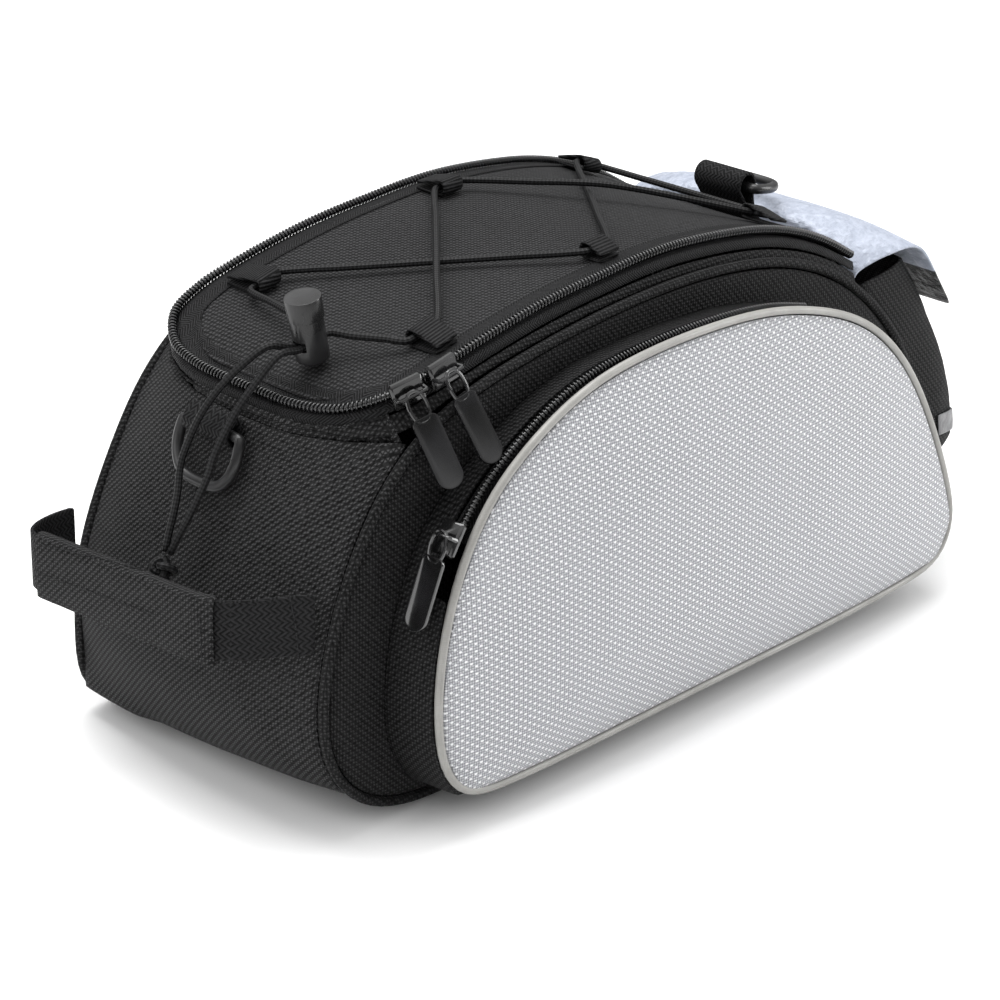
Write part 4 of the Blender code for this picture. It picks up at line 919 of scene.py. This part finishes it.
def front_yoke(finishes, cloth):
    """Closes the top of the handle end up to the lower edge of the lid zip's tape."""
    end_wall = cloth["end_panel"]
    line = even_line(line_through("lid_zip_coil", Vector((0.096, -0.053, 0.132)), 1.7 * MM), 3.0 * MM)
    rim = []
    for vert in cloth["lid_zip_tape"].data.vertices:
        near = min(line, key=lambda point: (point - vert.co).length_squared)
        if vert.co.z < near.z - 4.4 * MM and vert.co.x < -0.09:
            rim.append(vert.co)
    rows = []
    for k in range(57):
        y = (-56.0 + 112.0 * k / 56) * MM
        near = [vert.co for vert in end_wall.data.vertices if abs(vert.co.y - y) < 2.4 * MM]
        if not near or not rim:
            continue
        top = max(near, key=lambda co: co.z)
        start = Vector((top.x, y, top.z - 0.8 * MM))
        goal = min(rim, key=lambda point: (point - start).length_squared)
        inward = Vector((0.9 * MM, -0.9 * MM * y / 0.056, 1.2 * MM))
        crown = Vector((-0.3 * MM, 0, 0.7 * MM))
        rows.append([start, start.lerp(goal, 0.35) + crown, start.lerp(goal, 0.75) + crown, goal + inward])
    piece = strip("front_yoke", rows)
    flow_uv(piece)
    finish_piece(piece, finishes["black_cloth"], BAG)


# ---------------------------------------------------------------- cords
CORD_RADIUS = 1.15 * MM
LOCK_FOOT = Vector((-123.5, -14.2, 137.6)) * MM
LOCK_LEAN = math.radians(12)
PORT_REACH = 6.3
PORT_HEIGHT = 6.4
PORT_SPREAD = 1.4
# The two free tails from the lock over the end face to their knot (mm)
TAILS = {
    "tail_strand_a": (1, [
        (-138.0, -10.4, 144.2), (-144.5, -7.4, 140.0), (-150.5, -3.0, 132.5), (-155.6, 1.0, 123.0), (-159.2, 4.0, 112.0),
        (-161.2, 4.2, 106.0), (-164.0, 2.0, 100.0), (-166.8, 0.4, 95.0), (-169.9, -0.6, 88.6), (-172.0, -1.3, 83.7)]),
    "tail_strand_b": (-1, [
        (-138.5, -15.4, 142.8), (-145.8, -13.4, 135.4), (-152.4, -11.0, 126.0), (-158.8, -9.6, 115.0),
        (-161.0, -8.8, 108.0), (-166.4, -6.6, 96.0), (-169.6, -4.9, 89.4), (-171.9, -3.4, 83.7)]),
}
KNOT_CENTRE = Vector((-173.6, -2.2, 78.4)) * MM


def lock_port(reach, side):
    lean = Matrix.Translation(LOCK_FOOT) @ Matrix.Rotation(-LOCK_LEAN, 4, "Y")
    return lean @ (Vector((reach, side * PORT_SPREAD, PORT_HEIGHT)) * MM)


def tail_knot(finishes):
    """An overhand knot of both strands, with two short cut ends."""
    turns = 72
    loop = []
    for k in range(turns + 1):
        t = 2 * math.pi * k / turns
        loop.append(KNOT_CENTRE + Vector((-math.sin(3 * t) * 1.5, math.sin(t) + 2 * math.sin(2 * t), math.cos(t) - 2 * math.cos(2 * t))) * 1.25 * MM)
    build = bmesh.new()
    layer_name = "weave"
    lines = [loop[:-1], even_line([KNOT_CENTRE + Vector(p) * MM for p in ((0, 1, -2), (-0.8, 3, -5), (-0.6, 5.2, -8.5))], 0.7 * MM),
             even_line([KNOT_CENTRE + Vector(p) * MM for p in ((0, -1, -2), (-1.0, -2.6, -5.4), (-1.2, -3.2, -9.6))], 0.7 * MM)]
    lines[0].append(loop[0])
    for line in lines:
        part = tube("part", line, 1.2 * MM, 10)
        build.from_mesh(part.data)
        bpy.data.objects.remove(part)
    mesh = bpy.data.meshes.new("knotted_ends")
    build.to_mesh(mesh)
    build.free()
    piece = bpy.data.objects.new("knotted_ends", mesh)
    bpy.context.scene.collection.objects.link(piece)
    return finish_piece(piece, finishes["elastic_cord"], BAG, ["tail_knot"])


def cords(finishes):
    knot = tail_knot(finishes)
    for node, (side, route) in TAILS.items():
        points = [lock_port(-0.3, side), lock_port(-PORT_REACH, side)] + [Vector(p) * MM for p in route]
        line = even_line(points, 2.0 * MM)
        piece = tube(node + "_cord", line, CORD_RADIUS, 12)
        finish_piece(piece, finishes["elastic_cord"], BAG, [node])
    lace_line = even_line(line_through("bungee_lace", lock_port(0.3, 1), CORD_RADIUS), 1.5 * MM)
    lace = tube("bungee_lace_cord", lace_line, CORD_RADIUS, 12)
    finish_piece(lace, finishes["elastic_cord"], BAG, ["bungee_lace"])


# ---------------------------------------------------------------- seams sewn in thread
STITCH_LINES = [
    # piece, places in the photograph along the row
    ("handle_sleeve", [(38, 573), (80, 588), (130, 606), (201, 630)]),
    ("handle_sleeve", [(196, 585), (200, 620), (202, 655)]),
    ("handle_sleeve", [(44, 545), (90, 556), (140, 570), (200, 592)]),
    ("handle_sleeve", [(44, 606), (90, 622), (140, 642), (200, 662)]),
    ("handle_webbing", [(290, 598), (296, 630), (298, 655)]),
]


def stitch_rows(finishes, cloth):
    bpy.ops.mesh.primitive_cylinder_add(vertices=6, radius=0.22 * MM, depth=2.3 * MM)
    stitch = bpy.context.object
    edge = stitch.modifiers.new("round_ends", "BEVEL")
    edge.width = 0.15 * MM
    apply_all(stitch)
    shape = stitch.data
    bpy.data.objects.remove(stitch)
    for index, (node, places) in enumerate(STITCH_LINES):
        hits = [photo_hit(x, y, cloth[node]) for x, y in places]
        hits = [hit for hit in hits if hit]
        if len(hits) < 2:
            continue
        finder = tree_of(cloth[node])
        build = bmesh.new()
        line = even_line(hits, 3.1 * MM)
        for point, along in zip(line, directions(line)):
            place, normal, face, gap = finder.find_nearest(point)
            if normal.dot(CAMERA_PLACE - place) < 0:
                continue
            side = along.cross(normal).normalized()
            turn = Matrix((side, normal, along)).transposed().to_4x4()
            part = shape.copy()
            part.transform(Matrix.Translation(place + normal * 0.1 * MM) @ turn)
            build.from_mesh(part)
            bpy.data.meshes.remove(part)
        mesh = bpy.data.meshes.new("stitches_%d" % index)
        build.to_mesh(mesh)
        build.free()
        piece = bpy.data.objects.new("stitches_%d" % index, mesh)
        bpy.context.scene.collection.objects.link(piece)
        flow_uv(piece)
        finish_piece(piece, finishes["thread"], BODY_OF[node])


make_camera()
make_studio()
looks = make_finishes()
cords(looks)
walls = cloth_walls(looks)
round_pieces(looks)
zip_coils(looks)
hard_pieces(looks)
zip_pulls(looks)
lock_skirt(looks)
lid_edge_tape(looks, walls)
front_yoke(looks, walls)
stitch_rows(looks, walls)
